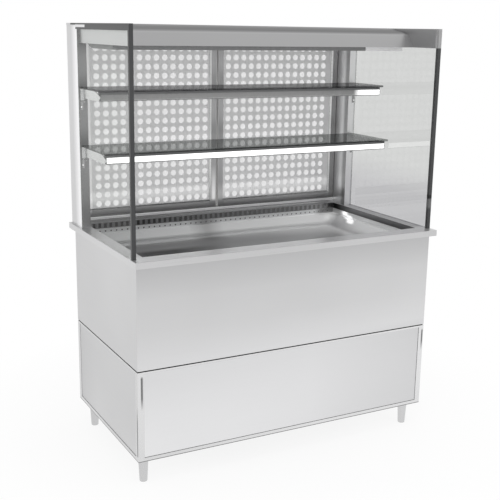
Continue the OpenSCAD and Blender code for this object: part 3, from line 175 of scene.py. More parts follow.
def grain_noise(tree, scale, detail=3.0):
    """Noise on object coordinates, stretched by the three numbers of scale"""
    place = add_node(tree, "ShaderNodeTexCoord")
    mapping = add_node(tree, "ShaderNodeMapping")
    mapping.inputs["Scale"].default_value = scale
    noise = add_node(tree, "ShaderNodeTexNoise")
    noise.inputs["Scale"].default_value = 1.0
    noise.inputs["Detail"].default_value = detail
    tree.links.new(place.outputs["Object"], mapping.inputs["Vector"])
    tree.links.new(mapping.outputs["Vector"], noise.inputs["Vector"])
    return noise.outputs["Fac"]


def spread(tree, source, low, high):
    """Noise, which lies mostly inside its range, spread from low to high"""
    return new_range(tree, source, NOISE_RANGE, (low, high))


def tint(tree, source, dark, light):
    """A colour that moves between two tones with the noise"""
    ramp = add_node(tree, "ShaderNodeValToRGB")
    for element, place, tone in zip(ramp.color_ramp.elements, NOISE_RANGE, (dark, light)):
        element.position = place
        element.color = (*tone, 1)
    tree.links.new(source, ramp.inputs["Fac"])
    return ramp.outputs["Color"]


def two_tones(tone, swing):
    """A tone made darker and lighter by a share of itself"""
    return tuple(c * (1 - swing) for c in tone), tuple(min(1, c * (1 + swing)) for c in tone)


def bump(tree, source, shader, strength):
    """Fine relief from the noise"""
    node = add_node(tree, "ShaderNodeBump")
    node.inputs["Strength"].default_value = strength
    node.inputs["Distance"].default_value = GRAIN_DEPTH
    tree.links.new(source, node.inputs["Height"])
    tree.links.new(node.outputs["Normal"], shader.inputs["Normal"])


print("noise helpers ready, relief", GRAIN_DEPTH, "m deep")

# %% [markdown]
# Stainless steel is a mirror that the rolling mill has scratched in one direction.
# So each steel here is a full metal whose roughness and height follow a noise that
# is stretched along the grain. The stretch is done by a Mapping node: a large scale
# number across the grain makes fine lines, a small one along it makes long lines.

# %% Steel
LEVEL = (3, 3, 900)
UPRIGHT = (900, 900, 3)
PRESSED = (3, 300, 3)
MILL_CLOUDS = (1.4, 1.4, 1.4)
MILL_SWING = 0.04
ROUGHNESS_SWING = 0.05


def steel(name, tone, rough, grain=LEVEL, relief=0.05):
    """Rolled stainless steel with its grain along one direction"""
    material, tree, shader = new_material(name)
    lines = grain_noise(tree, grain)
    clouds = grain_noise(tree, MILL_CLOUDS, detail=2.0)
    shader.inputs["Metallic"].default_value = 1.0
    tree.links.new(tint(tree, clouds, *two_tones(tone, MILL_SWING)), shader.inputs["Base Color"])
    tree.links.new(spread(tree, lines, rough - ROUGHNESS_SWING, rough + ROUGHNESS_SWING),
                   shader.inputs["Roughness"])
    bump(tree, lines, shader, relief)
    return material


def cool(grey):
    """The colour of bare steel, a grey with a trace of blue"""
    return grey, grey, grey + 0.005


body_steel = steel("satin_body_steel", cool(0.75), 0.36)
rim_steel = steel("satin_worktop_steel", cool(0.76), 0.32)
frame_steel = steel("polished_tube_steel", cool(0.76), 0.20, relief=0.02)
pan_steel = steel("bright_pan_steel", (0.90, 0.905, 0.91), 0.44, PRESSED, relief=0.002)
door_steel = steel("satin_door_steel", cool(0.64), 0.34, UPRIGHT)
surround_steel = steel("satin_surround_steel", cool(0.64), 0.34)
column_left_steel = steel("satin_left_column_steel", cool(0.76), 0.34, UPRIGHT)
# The right column's steel is a lighter copy of the left's, as painted light
column_right_lit_steel = steel("right_column_steel_painted_light", cool(0.96), 0.34, UPRIGHT)
# Painted highlight for the bevels round the door sheets
bevel_highlight_steel = steel("door_bevel_painted_highlight", (0.96, 0.96, 0.96), 0.30)
neck_steel = steel("shaded_neck_steel", cool(0.26), 0.30)
sheet_steel = steel("satin_perforated_steel", cool(0.96), 0.55)
canopy_steel = steel("satin_canopy_steel", cool(0.80), 0.34)
cheek_steel = steel("satin_cheek_steel", cool(0.76), 0.34)
bright_steel = steel("polished_fitting_steel", cool(0.78), 0.22, UPRIGHT, relief=0.01)
bracket_steel = steel("polished_bracket_steel", cool(0.78), 0.22, UPRIGHT, relief=0.01)
screw_steel = steel("dark_screw_steel", cool(0.42), 0.25, relief=0.01)
# Painted dark reflection: the grille steel is given a dark tone
grille_dark_reflection_steel = steel("satin_grille_painted_reflection", cool(0.30), 0.30)
foot_steel = steel("polished_foot_steel", cool(0.66), 0.20, UPRIGHT, relief=0.01)
print("steels made")

# %% [markdown]
# Zinc coated sheet, cast fins and copper pipe are hidden in use, but a view from
# below or with a door open finds them. The zinc has its flower pattern, which a
# Voronoi texture gives, and the copper has a dull oxide in clouds.

# %% Other metals
ZINC_FLOWERS = 90
OXIDE_CLOUDS = (40, 40, 40)


def zinc(name):
    """Galvanised sheet with its flower pattern"""
    material, tree, shader = new_material(name)
    place = add_node(tree, "ShaderNodeTexCoord")
    cells = add_node(tree, "ShaderNodeTexVoronoi")
    cells.inputs["Scale"].default_value = ZINC_FLOWERS
    tree.links.new(place.outputs["Object"], cells.inputs["Vector"])
    shader.inputs["Metallic"].default_value = 0.85
    tree.links.new(tint(tree, cells.outputs["Distance"], (0.44, 0.45, 0.46), (0.58, 0.59, 0.60)),
                   shader.inputs["Base Color"])
    tree.links.new(spread(tree, cells.outputs["Distance"], 0.42, 0.55),
                   shader.inputs["Roughness"])
    return material


def plain_metal(name, dark, light, rough):
    """A metal with soft clouds of tone"""
    material, tree, shader = new_material(name)
    clouds = grain_noise(tree, OXIDE_CLOUDS)
    shader.inputs["Metallic"].default_value = 1.0
    tree.links.new(tint(tree, clouds, dark, light), shader.inputs["Base Color"])
    tree.links.new(spread(tree, clouds, rough - 0.06, rough + 0.06), shader.inputs["Roughness"])
    return material


zinc_sheet = zinc("zinc_coated_sheet")
fin_metal = plain_metal("coil_fin_aluminium", (0.66, 0.67, 0.68), (0.76, 0.77, 0.78), 0.35)
copper_pipe = plain_metal("drawn_copper_pipe", (0.55, 0.27, 0.15), (0.72, 0.38, 0.23), 0.30)
print("zinc, fins and copper made")

# %% [markdown]
# Painted, moulded and foamed parts share one recipe: a colour that barely moves,
# a roughness, and a fine relief at the size of the real grain.

# %% Paint, plastic and foam
COLOUR_CLOUDS = (2.5, 2.5, 2.5)


def coated(name, tone, rough, relief, scale, swing=0.05, metal=0.0):
    """Paint, moulding or foam with a fine grain"""
    material, tree, shader = new_material(name)
    fine = grain_noise(tree, (scale, scale, scale))
    clouds = grain_noise(tree, COLOUR_CLOUDS)
    shader.inputs["Metallic"].default_value = metal
    tree.links.new(tint(tree, clouds, *two_tones(tone, swing)), shader.inputs["Base Color"])
    tree.links.new(spread(tree, fine, rough - ROUGHNESS_SWING, rough + ROUGHNESS_SWING),
                   shader.inputs["Roughness"])
    bump(tree, fine, shader, relief)
    return material


trim_paint = coated("dark_edge_trim", (0.055, 0.056, 0.058), 0.32, 0.04, 700, metal=0.3)
lamp_paint = coated("dark_lamp_paint", (0.13, 0.132, 0.135), 0.42, 0.06, 900)
hood_paint = coated("grey_lamp_paint", (0.22, 0.222, 0.225), 0.42, 0.06, 900)
# Black mouldings, and the black of painted shade in the gaps round panels and frame
black_moulding_and_gap_shade = coated("black_moulding_and_gap_shade", (0.012, 0.012, 0.013), 0.38, 0.10, 1500)
grey_cap = coated("grey_button_cap", (0.32, 0.33, 0.34), 0.30, 0.04, 900)
pale_moulding = coated("pale_moulding", (0.56, 0.56, 0.54), 0.45, 0.06, 700)
white_board = coated("white_door_board", (0.80, 0.80, 0.80), 0.50, 0.03, 300, swing=0.02)
gasket_rubber = coated("pale_gasket", (0.55, 0.55, 0.54), 0.60, 0.12, 900)
yellow_foam = coated("insulating_foam", (0.78, 0.70, 0.45), 0.90, 0.60, 260, swing=0.10)
enamel = coated("black_enamel", (0.010, 0.010, 0.011), 0.22, 0.05, 500)
green_moulding = coated("green_rocker", (0.015, 0.16, 0.045), 0.25, 0.02, 900)
print("paints, mouldings and foam made")

# %% [markdown]
# A steel face shows what stands round it, and a showroom is richer than a plain
# studio. The objects of a whole room could be built for the steel to mirror. Here the
# steel itself changes tone with its place instead, softly, so that the change passes
# as a reflection. A mask does that: it is zero at one point of an axis and one at
# another, and the product of several masks marks a patch.

# %% Masks by place and direction
def along(axis, zero, one):
    """A mask along an axis of the object, in metres"""
    return "Object", axis, zero, one


def facing(axis, zero, one):
    """A mask by the direction that a face looks in"""
    return "Normal", axis, zero, one


def object_axis(tree, output, axis, zero, one):
    """A mask as a value in a node graph"""
    place = add_node(tree, "ShaderNodeTexCoord")
    split = add_node(tree, "ShaderNodeSeparateXYZ")
    tree.links.new(place.outputs[output], split.inputs["Vector"])
    return new_range(tree, split.outputs[axis], (zero, one))


def all_of(tree, masks):
    """The product of several masks"""
    total = object_axis(tree, *masks[0])
    for mask in masks[1:]:
        total = combine(tree, "MULTIPLY", total, object_axis(tree, *mask))
    return total


TO_FRONT = facing("Y", -0.5, -0.9)
TO_LEFT = facing("X", -0.5, -0.9)
TO_TOP = facing("Z", 0.6, 0.95)
NEARLY_LEVEL = facing("Z", 0.3, 0.9)
NOT_BELOW = facing("Z", 0.0, 0.3)
END_WALL = facing("X", -0.2, -0.5)
ON_RIGHT = along("X", 0.0, 0.1)
ON_LEFT = along("X", 0.0, -0.1)
print("masks ready")

# %% [markdown]
# Two tools use the masks. One moves the colour to another grey. The other adds a
# little light of the face's own, for places that the lamps of the case bathe: a real
# lamp there would need many samples to come out as clean. Each takes the graph as it
# is and adds to it, so that several shades can lie on one material.

# %% Light and tone by place
def bathe(material, glow, *masks):
    """A little light of its own where all the masks are one"""
    tree = material.node_tree
    shader = tree.nodes["Principled BSDF"]
    shader.inputs["Emission Color"].default_value = WHITE
    strength = shader.inputs["Emission Strength"]
    light = combine(tree, "MULTIPLY", all_of(tree, masks), glow)
    if strength.is_linked:
        light = combine(tree, "ADD", strength.links[0].from_socket, light)
    tree.links.new(light, strength)


def recolour(material, tone, *masks, shader="Principled BSDF", colour="Base Color"):
    """Moves a shader's colour to a grey tone where all the masks are one"""
    tree = material.node_tree
    socket = tree.nodes[shader].inputs[colour]
    tree.links.new(blend(tree, all_of(tree, masks), socket.links[0].from_socket,
                         (tone, tone, tone * 1.01, 1)), socket)


print("shading tools ready")

# %% [markdown]
# The service doors close the case at the rear. Their perforated sheets lie before
# white boards and take the light of both shelf lamps, most at the left edge and in a
# low band. Real light behind so many holes would come out as noise, so board and
# sheet glow a little by themselves, as painted light. The foam of the well carries
# painted shade: it is black above a height, in the air chambers, and a little
# painted light lies on it behind the rear grille.

# %% Door sheets, door boards and foam
bathe(white_board, 0.58, TO_FRONT)
recolour(white_board, 0.36, TO_FRONT)
bathe(sheet_steel, 0.09, TO_FRONT)
bathe(sheet_steel, 0.16, TO_FRONT, along("X", -0.593, -0.597))
bathe(sheet_steel, 0.14, TO_FRONT, along("Z", 0.975, 0.995), along("Z", 1.040, 1.015))
# Painted shade: black foam above this height; painted light behind the rear grille
recolour(yellow_foam, 0.004, along("Z", 0.835, 0.840))
bathe(yellow_foam, 0.10, TO_FRONT, along("Y", 0.325, 0.330), along("X", -0.60, 0.55))
print("sheets, boards and foam shaded")

# %% [markdown]
# The two rear columns carry glass, shelves and canopy. The front face of the left one
# has painted shade from the glass edge, and its outer side has painted light that
# grows towards the front. The right one is a lighter copy of the steel, as painted
# light: its front face is painted lighter still, and its inner side painted darker
# towards it.

# %% Columns
column_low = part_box("column_left")[0]
outer_edge_painted_light = (TO_LEFT, along("Y", column_low.y + 0.080, column_low.y + 0.020))
recolour(column_left_steel, 0.98, *outer_edge_painted_light)
bathe(column_left_steel, 0.10, *outer_edge_painted_light)
recolour(column_left_steel, 0.34, TO_FRONT)
recolour(column_right_lit_steel, 0.42, along("Y", column_low.y + 0.040, column_low.y + 0.022))
recolour(column_right_lit_steel, 0.99, TO_FRONT)
print("columns shaded from", round(column_low.y, 4))

# %% [markdown]
# The outer stile of the left door stands in the light, that of the right door in the
# shade. The meeting stiles are dark, with a streak of light at their feet, and so are
# the bottom rails. Below the doors, the lip of the sill catches the light and shades
# the strip under it.

# %% Door frames and sill
recolour(door_steel, 0.98, TO_FRONT, along("X", -0.600, -0.605))
recolour(door_steel, 0.34, TO_FRONT, along("X", 0.612, 0.616))
recolour(door_steel, 0.48, TO_FRONT, along("X", -0.040, -0.036), along("X", 0.040, 0.036))
recolour(door_steel, 0.22, TO_FRONT, along("Z", 0.955, 0.931))
bathe(door_steel, 0.50, TO_FRONT, along("X", -0.034, -0.020), along("X", -0.003, -0.012),
      along("Z", 1.12, 0.99), along("Z", 0.952, 0.966))
bathe(door_steel, 0.16, TO_FRONT, along("X", 0.004, 0.008), along("X", 0.038, 0.034),
      along("Z", 1.04, 0.99), along("Z", 0.952, 0.966))
# Painted light along the gap between the meeting stiles
bathe(door_steel, 0.12, along("X", -0.0062, -0.0058), along("X", 0.0062, 0.0058))
recolour(surround_steel, 0.88, along("Z", 0.9105, 0.9125), along("Z", 0.930, 0.926))
recolour(surround_steel, 0.36, along("Z", 0.9110, 0.9090), along("X", 0.10, -0.40))
print("door frames and sill shaded")

# %% [markdown]
# The shelf brackets are polished castings with two screws in each foot. The foot lies
# in the shade of its arm, but its lower screw does not.

# %% Shelf brackets
LOWER_SCREWS = (1.407, 1.169)
foot_face = along("Y", column_low.y - 0.0031, column_low.y - 0.0027)
recolour(bracket_steel, 0.30, foot_face, along("Z", 1.437, 1.433), along("Z", 1.380, 1.390))
recolour(bracket_steel, 0.30, foot_face, along("Z", 1.199, 1.195))
for z in LOWER_SCREWS:
    bathe(bracket_steel, 0.50, along("Y", column_low.y - 0.0030, column_low.y - 0.0033),
          along("Z", z - 0.0045, z - 0.0040), along("Z", z + 0.0045, z + 0.0040))
print("brackets shaded,", len(LOWER_SCREWS), "screws kept light")

# %% [markdown]
# The base frame is polished square tube. Its posts carry short streaks of painted
# dark reflection, and a thin line of painted shade runs along the frame's foot.

# %% Base frame
frame_low, frame_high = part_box("base_frame")
post_front = along("Y", frame_low.y + 0.001, frame_low.y + 0.0005)
recolour(frame_steel, 0.18, post_front, along("X", -0.665, -0.661), along("X", -0.653, -0.657),
         along("Z", 0.310, 0.360), along("Z", 0.450, 0.440))
recolour(frame_steel, 0.18, post_front, along("X", 0.664, 0.667), along("X", 0.674, 0.671),
         along("Z", 0.350, 0.390), along("Z", 0.450, 0.440))
recolour(frame_steel, 0.18, TO_LEFT, along("Y", frame_low.y + 0.014, frame_low.y + 0.010),
         along("Y", frame_low.y + 0.002, frame_low.y + 0.006), along("Z", 0.330, 0.260),
         along("Z", 0.116, 0.122))
recolour(frame_steel, 0.22, along("Z", frame_low.z + 0.004, frame_low.z + 0.002))
print("frame shaded from", round(frame_low.z, 3), "to", round(frame_high.z, 3))

# %% [markdown]
# The display pan is one pressed sheet, bright and slightly rough. The shelf lamps
# stand in it as soft light: its walls are lightest towards the right, and a little
# light lies on the rear turn to the floor, the rear right of the floor and the end.

# %% Light in the pan
bathe(pan_steel, 0.27, NOT_BELOW, along("X", -0.60, 0.60), along("X", 0.74, 0.58),
      along("Y", 0.255, 0.285))
bathe(pan_steel, 0.10, facing("Z", 0.85, 0.95), facing("Z", 0.999, 0.990),
      along("Y", 0.24, 0.27))
bathe(pan_steel, 0.12, facing("Z", 0.90, 0.99), along("X", 0.20, 0.50), along("Y", 0.00, 0.15))
bathe(pan_steel, 0.10, NOT_BELOW, along("X", 0.50, 0.58), along("Y", 0.25, 0.13))
bathe(pan_steel, 0.08, END_WALL, along("Y", 0.10, 0.05), along("Z", 0.850, 0.860))
bathe(pan_steel, 0.12, END_WALL, along("Y", 0.17, 0.20), along("Z", 0.812, 0.838))
print("pan lit")

# %% [markdown]
# The floor of the pan mirrors the doors, which are darker than the lamps. It has a
# darker wedge at the front left, a soft column where it mirrors the meeting stiles,
# and a shaded rear corner.

# %% Dark tones in the pan
recolour(pan_steel, 0.64, NEARLY_LEVEL, along("Y", 0.27, 0.13), along("Z", 0.830, 0.815))
recolour(pan_steel, 0.47, NEARLY_LEVEL, along("Y", 0.29, 0.20), along("X", 0.30, -0.40))
recolour(pan_steel, 0.12, TO_TOP, along("Y", 0.140, 0.095), along("Y", -0.10, 0.06),
         along("X", -0.06, -0.32), along("X", -0.62, -0.46))
recolour(pan_steel, 0.50, along("X", -0.16, -0.08), along("X", 0.02, -0.06),
         along("Y", 0.17, 0.22))
recolour(pan_steel, 0.80, along("X", 0.530, 0.575), along("Y", 0.150, 0.190))
recolour(pan_steel, 0.30, along("X", 0.520, 0.560), along("Y", 0.230, 0.260),
         along("Z", 0.840, 0.858))
print("pan shaded")

# %% [markdown]
# The end wall mirrors one lamp as a bright, slanting spot. One upright window would
# look like a label, so three soft windows step down and forward and overlap. The neck
# of the well, under the worktop, is shaded to its foot and at its far right corner.

# %% Bright spot and neck
SPOT_WINDOWS = ((0.854, 0.882, 0.190, 0.228), (0.845, 0.861, 0.150, 0.188),
                (0.832, 0.850, 0.112, 0.160))
for foot, head, near, far in SPOT_WINDOWS:
    bathe(pan_steel, 0.75, END_WALL, along("Z", foot - 0.004, foot + 0.004),
          along("Z", head + 0.004, head - 0.004), along("Y", near - 0.012, near + 0.012),
          along("Y", far + 0.012, far - 0.012))
recolour(neck_steel, 0.15, along("Z", 0.893, 0.878))
recolour(neck_steel, 0.02, along("X", 0.60, 0.62), along("Y", 0.24, 0.29))
print("spot of", len(SPOT_WINDOWS), "windows, neck shaded")

# %% [markdown]
# The front strip of the worktop has painted light. Under it the body has painted
# shade, and it is painted lighter again towards its foot, most at the left. Its left
# side is darker low at the rear.

# %% Worktop and body
recolour(rim_steel, 0.84, TO_TOP, along("Y", -0.30, -0.33))
bathe(rim_steel, 0.08, TO_TOP, along("Y", -0.30, -0.33))
recolour(body_steel, 0.63, TO_FRONT, along("Z", 0.74, 0.88))
recolour(body_steel, 0.79, TO_FRONT, along("Z", 0.62, 0.48))
recolour(body_steel, 0.89, TO_FRONT, along("Z", 0.42, 0.12), along("X", 0.30, -0.65))
recolour(body_steel, 0.70, TO_FRONT, along("Z", 0.50, 0.45), along("X", 0.10, 0.68))
recolour(body_steel, 0.66, TO_LEFT, along("Y", 0.10, 0.34), along("Z", 0.50, 0.42))
print("worktop and body shaded")

# %% [markdown]
# The brow of the canopy has painted shade at its top, and a grey specular tint dims
# its mirror as more painted shade. The lamp under it is lighter in colour near its
# right end, and the inner side of the right cheek has painted shade, as it faces the
# dark of the canopy.

# %% Canopy, lamp and cheeks
BROW_SHADE_TINT = (0.5, 0.5, 0.5, 1)
hood_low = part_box("canopy_hood")[0]
recolour(canopy_steel, 0.52, facing("Z", 0.45, 0.95),
         along("Y", hood_low.y + 0.150, hood_low.y + 0.110))
canopy_steel.node_tree.nodes["Principled BSDF"].inputs["Specular Tint"].default_value = BROW_SHADE_TINT
recolour(hood_paint, 0.90, along("X", 0.466, 0.470))
recolour(cheek_steel, 0.46, TO_LEFT, along("X", 0.1, 0.2))
print("canopy shaded from", round(hood_low.y, 3))

# %% [markdown]
# Dark trims cover the edges of the side glasses. The right one is bright where the
# canopy stands behind it, and low on it a dark band runs across, with a lighter
# length of trim below. On the left one a painted highlight lies under a dark line,
# which runs on to the rear along the cap.

# %% Edge trims and cap line
recolour(trim_paint, 0.36, ON_RIGHT, along("Z", 1.661, 1.664))
# Painted highlight on the left trim, under the cap line
recolour(trim_paint, 0.90, ON_LEFT, along("Y", 0.115, 0.117),
         along("Z", 1.7235, 1.7245), along("Z", 1.7345, 1.7335))
recolour(trim_paint, 0.012, ON_RIGHT, along("Z", 1.050, 1.045),
         along("Z", 1.030, 1.035))
recolour(trim_paint, 0.14, ON_RIGHT, along("Z", 1.031, 1.028),
         along("Z", 0.985, 0.995))
recolour(cheek_steel, 0.03, TO_LEFT, ON_LEFT, along("Y", 0.318, 0.316),
         along("Y", 0.2340, 0.2345), along("Z", 1.7330, 1.7340))
print("trims shaded")

# %% [markdown]
# A flat pane does not bend the view, it only dims it a little and lays a weak mirror
# image over it. So the pane is a clear shader mixed with a mirror, and the share of
# the mirror grows towards a flat view, as the Fresnel node works it out. Rays that
# look for a lamp pass through, because glass throws almost no shadow.

# %% Glass
PANE_CLOUDS = (1.2, 1.2, 1.2)


def pane(name, tone, bend, mirror):
    """Flat clear glass: tone dims the view, bend and mirror set how strongly it reflects"""
    material, tree, shader = new_material(name)
    clouds = grain_noise(tree, PANE_CLOUDS)
    clear = add_node(tree, "ShaderNodeBsdfTransparent")
    lighter = tuple(min(1, c + 0.01) for c in tone)
    tree.links.new(tint(tree, clouds, tone, lighter), clear.inputs["Color"])
    shader.inputs["Base Color"].default_value = WHITE
    shader.inputs["Metallic"].default_value = 1.0
    tree.links.new(spread(tree, clouds, 0.0, 0.02), shader.inputs["Roughness"])
    fresnel = add_node(tree, "ShaderNodeFresnel")
    fresnel.inputs["IOR"].default_value = bend
    # No mirror for lamp rays, nor on the far face, where it would count twice
    path = add_node(tree, "ShaderNodeLightPath")
    surface = add_node(tree, "ShaderNodeNewGeometry")
    without = combine(tree, "MAXIMUM", path.outputs["Is Shadow Ray"],
                      surface.outputs["Backfacing"])
    share = combine(tree, "MULTIPLY", combine(tree, "MULTIPLY", fresnel.outputs["Fac"], mirror),
                    combine(tree, "SUBTRACT", 1.0, without))
    tree.links.new(mix_shaders(tree, share, clear.outputs["BSDF"], shader.outputs["BSDF"]),
                   tree.nodes["Material Output"].inputs["Surface"])
    return material


side_glass = pane("clear_side_glass", (0.97, 0.975, 0.97), 1.30, 0.35)
far_glass = pane("far_side_glass", (0.81, 0.815, 0.81), 1.45, 1.7)
shelf_glass = pane("clear_shelf_glass", (0.58, 0.59, 0.585), 1.45, 0.35)
recolour(shelf_glass, 0.47, along("Z", 1.30, 1.40), shader="Transparent BSDF", colour="Color")
recolour(far_glass, 0.745, along("Z", 1.16, 1.03), shader="Transparent BSDF", colour="Color")
print("three kinds of glass made")

# %% [markdown]
# An opal strip covers the tubes of each lamp. It could be a see-through plastic with
# lamps behind it, which renders slowly and with noise, so it is a plastic that gives
# light. As the eye sees a lamp far less bright than the light it throws on matt parts,
# the two have numbers of their own, which the Light Path node tells apart.

# %% Lamp diffusers
UPPER_STRIP = (along("Z", 1.44, 1.45), along("Z", 1.60, 1.59))
LIT_END = along("X", 0.56, 0.52)
UNLIT_OPAL = (0.24, 0.24, 0.24, 1)
OPAL_CLOUDS = (30, 30, 30)


def opal(name, glow, throw):
    """Opal plastic: glow is what the camera sees, throw is the light it gives"""
    material, tree, shader = new_material(name)
    clouds = grain_noise(tree, OPAL_CLOUDS)
    colour = tint(tree, clouds, (0.84, 0.84, 0.83), (0.90, 0.90, 0.89))
    tree.links.new(spread(tree, clouds, 0.28, 0.38), shader.inputs["Roughness"])
    shader.inputs["Emission Color"].default_value = WHITE
    path = add_node(tree, "ShaderNodeLightPath")
    strength = new_range(tree, path.outputs["Is Diffuse Ray"], (0.0, 1.0), (glow, throw))
    # The upper lamp is lit only near its right end, and no mirror shows that end
    aside = combine(tree, "MAXIMUM", object_axis(tree, *LIT_END), path.outputs["Is Glossy Ray"])
    dark = combine(tree, "MULTIPLY", all_of(tree, UPPER_STRIP), aside)
    lit_share = new_range(tree, dark, (0.0, 1.0), (1.0, 0.0))
    tree.links.new(combine(tree, "MULTIPLY", strength, lit_share),
                   shader.inputs["Emission Strength"])
    tree.links.new(blend(tree, dark, colour, UNLIT_OPAL), shader.inputs["Base Color"])
    return material


lit_strip = opal("lit_opal_strip", 0.9, 4.0)
print("opal strip made")

# %% [markdown]
# Each piece keeps the finish that belongs to its place on the case. One table names
# the finish of every node, so that nothing is left in a plain default colour.

# %% Finish of every node
FINISH = {}
for finish, owners in (
        (body_steel, "front_panel side_panels rear_grille_panel control_panel body_shell"),
        (rim_steel, "rim well_liner"), (frame_steel, "base_frame"), (grille_dark_reflection_steel, "air_grilles"),
        (foot_steel, "foot_front_left foot_front_right foot_rear_left foot_rear_right"),
        (pan_steel, "display_pan"), (column_left_steel, "column_left"),
        (column_right_lit_steel, "column_right"), (canopy_steel, "canopy_hood"),
        (cheek_steel, "canopy_cheeks canopy_cap"), (surround_steel, "door_surround"),
        (door_steel, "left_door_frame right_door_frame"), (bracket_steel, "shelf_brackets"),
        (sheet_steel, "left_door_sheet right_door_sheet"),
        (bright_steel, "door_hinges left_door_handle right_door_handle"),
        (zinc_sheet, "base_tray evaporator_fan_plate condensate_tray"),
        (fin_metal, "evaporator_coil condenser"), (copper_pipe, "refrigerant_lines"),
        (side_glass, "glass_left"), (far_glass, "glass_right"), (shelf_glass, "glass_shelves"),
        (lit_strip, "light_diffusers"), (trim_paint, "glass_trims"), (hood_paint, "canopy_lamp"),
        (lamp_paint, "upper_light_bar lower_light_bar"), (enamel, "compressor"),
        (black_moulding_and_gap_shade, "control_bezels light_switch cable_gland condenser_fan "
                         "evaporator_fan_left evaporator_fan_right"),
        (green_moulding, "power_switch"), (grey_cap, "button_set button_up button_down"),
        (pale_moulding, "drain_pipe electrical_box"), (yellow_foam, "insulation"),
        (white_board, "left_door_panel right_door_panel"),
        (gasket_rubber, "left_door_gasket right_door_gasket")):
    FINISH.update({owner: finish for owner in owners.split()})

for name, node in nodes.items():
    node.data.materials.clear()
    node.data.materials.append(FINISH[name])
print(len(FINISH), "finishes set")

# %% [markdown]
# A folded sheet never has a knife edge. Its bends have a radius of one or two
# sheets, and that radius is what catches the light in a photograph. Each visible
# piece is therefore copied, its loose triangles are merged into whole faces, and a
# bevel rounds every edge that turns by more than a set angle.

# %% Tools for rounded pieces
SAME_POINT = 0.00001
SAME_PLANE = math.radians(0.5)
SHARP_TURN = math.radians(35)


def only(piece):
    """Selects one object and nothing else"""
    bpy.ops.object.select_all(action="DESELECT")
    piece.select_set(True)
    bpy.context.view_layer.objects.active = piece


def whole_copy(node, name):
    """A copy of a node with its triangles merged into whole faces"""
    only(nodes[node])
    bpy.ops.object.duplicate()
    piece = bpy.context.active_object
    piece.name = name
    piece.parent = None
    for key in list(piece.keys()):
        del piece[key]
    bpy.ops.object.mode_set(mode="EDIT")
    bpy.ops.mesh.select_all(action="SELECT")
    bpy.ops.mesh.remove_doubles(threshold=SAME_POINT)
    bpy.ops.mesh.dissolve_limited(angle_limit=SAME_PLANE)
    bpy.ops.mesh.select_all(action="DESELECT")
    bpy.ops.object.mode_set(mode="OBJECT")
    return piece


def stand_for(piece, node):
    """The piece takes a node's place, body and finish"""
    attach(piece, nodes[node]["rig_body"])
    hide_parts(node)


def rounded(node, width):
    """A whole copy of a node with its edges rounded"""
    piece = whole_copy(node, node + "_formed")
    if width > 0:
        only(piece)
        edge = piece.modifiers.new("rounding", "BEVEL")
        edge.limit_method = "ANGLE"
        edge.angle_limit = SHARP_TURN
        edge.width = width
        edge.segments = 2
        edge.use_clamp_overlap = True
        bpy.ops.object.modifier_apply(modifier="rounding")
    only(piece)
    bpy.ops.object.shade_smooth_by_angle(angle=SHARP_TURN)
    level = piece.modifiers.new("flat_faces", "WEIGHTED_NORMAL")
    level.keep_sharp = True
    bpy.ops.object.modifier_apply(modifier="flat_faces")
    stand_for(piece, node)
    return piece


print("rounding tools ready, edges over", round(math.degrees(SHARP_TURN)), "degrees")

# %% [markdown]
# The radius of each piece, in millimetres, follows from how it is made: thick sheet
# bends wide, the edges of glass and drawn trims are ground or rolled, and mouldings
# are almost sharp. A piece with zero, round all over, only gets smooth shading.

# %% Rounded pieces
MM = 0.001
ROUNDING = {
    "base_frame": 0.5, "front_panel": 0.5, "side_panels": 0.5, "control_panel": 0.5,
    "body_shell": 0.7, "rim": 0.7, "column_left": 0.7, "column_right": 0.7,
    "glass_left": 0.6, "glass_right": 0.6, "glass_trims": 0.8, "canopy_hood": 0.7,
    "canopy_cheeks": 0.5, "canopy_cap": 0.6, "canopy_lamp": 0.8, "glass_shelves": 0.8,
    "shelf_brackets": 0.4, "upper_light_bar": 0.6, "lower_light_bar": 0.6,
    "door_surround": 0.8, "left_door_frame": 0.6, "right_door_frame": 0.6,
    "control_bezels": 0.6, "power_switch": 0.3, "light_switch": 0.3, "button_set": 0.2,
    "button_up": 0.2, "button_down": 0.2, "display_pan": 0.5, "cable_gland": 0.3,
    "foot_front_left": 0.3, "foot_front_right": 0.3, "foot_rear_left": 0.3,
    "foot_rear_right": 0.3, "left_door_handle": 0.0, "right_door_handle": 0.0,
    "door_hinges": 0.2, "compressor": 0.0, "left_door_gasket": 0.3, "right_door_gasket": 0.3,
}
formed = {node: rounded(node, width * MM) for node, width in ROUNDING.items()}
print(len(formed), "pieces rounded")

# %% [markdown]
# Some faces of a piece carry painted light and shade: the bevels round the perforated
# sheets a painted highlight, the neck of the well painted shade, and the faces in the
# gaps round the panels and between frame and body a black material as painted shade.
# A split into more objects would leave seams, so single faces take a second material,
# picked by where they are and how they look.

# %% Painted light and shade on single faces
SHADOW_GAP = 0.006
NEAR_THE_PAN = 0.004
MEETING_STILES = 0.02
DOOR_SPAN = (0.94, 1.63)


def painted_light_and_shade(node, material, wanted):
    """Gives the faces that wanted picks, by middle and normal, a second material"""
    piece = formed[node]
    piece.data.materials.append(material)
    count = 0
    for face in piece.data.polygons:
        if wanted(face.center, face.normal):
            face.material_index = len(piece.data.materials) - 1
            count += 1
    print(piece.name, count, "faces in", material.name)


def bevel_of_door(middle, normal):
    """The slanting faces of a door frame, towards its sheet"""
    return (-0.9 < normal.y < -0.4 and max(abs(normal.x), abs(normal.z)) > 0.4
            and abs(middle.x) > MEETING_STILES and DOOR_SPAN[0] < middle.z < DOOR_SPAN[1])


def neck_of_well(middle, normal):
    """The upright faces of the worktop's opening, round the pan"""
    return (abs(normal.z) < 0.3 and abs(middle.x) < pan_high.x + NEAR_THE_PAN
            and pan_low.y - NEAR_THE_PAN < middle.y < pan_high.y + NEAR_THE_PAN)


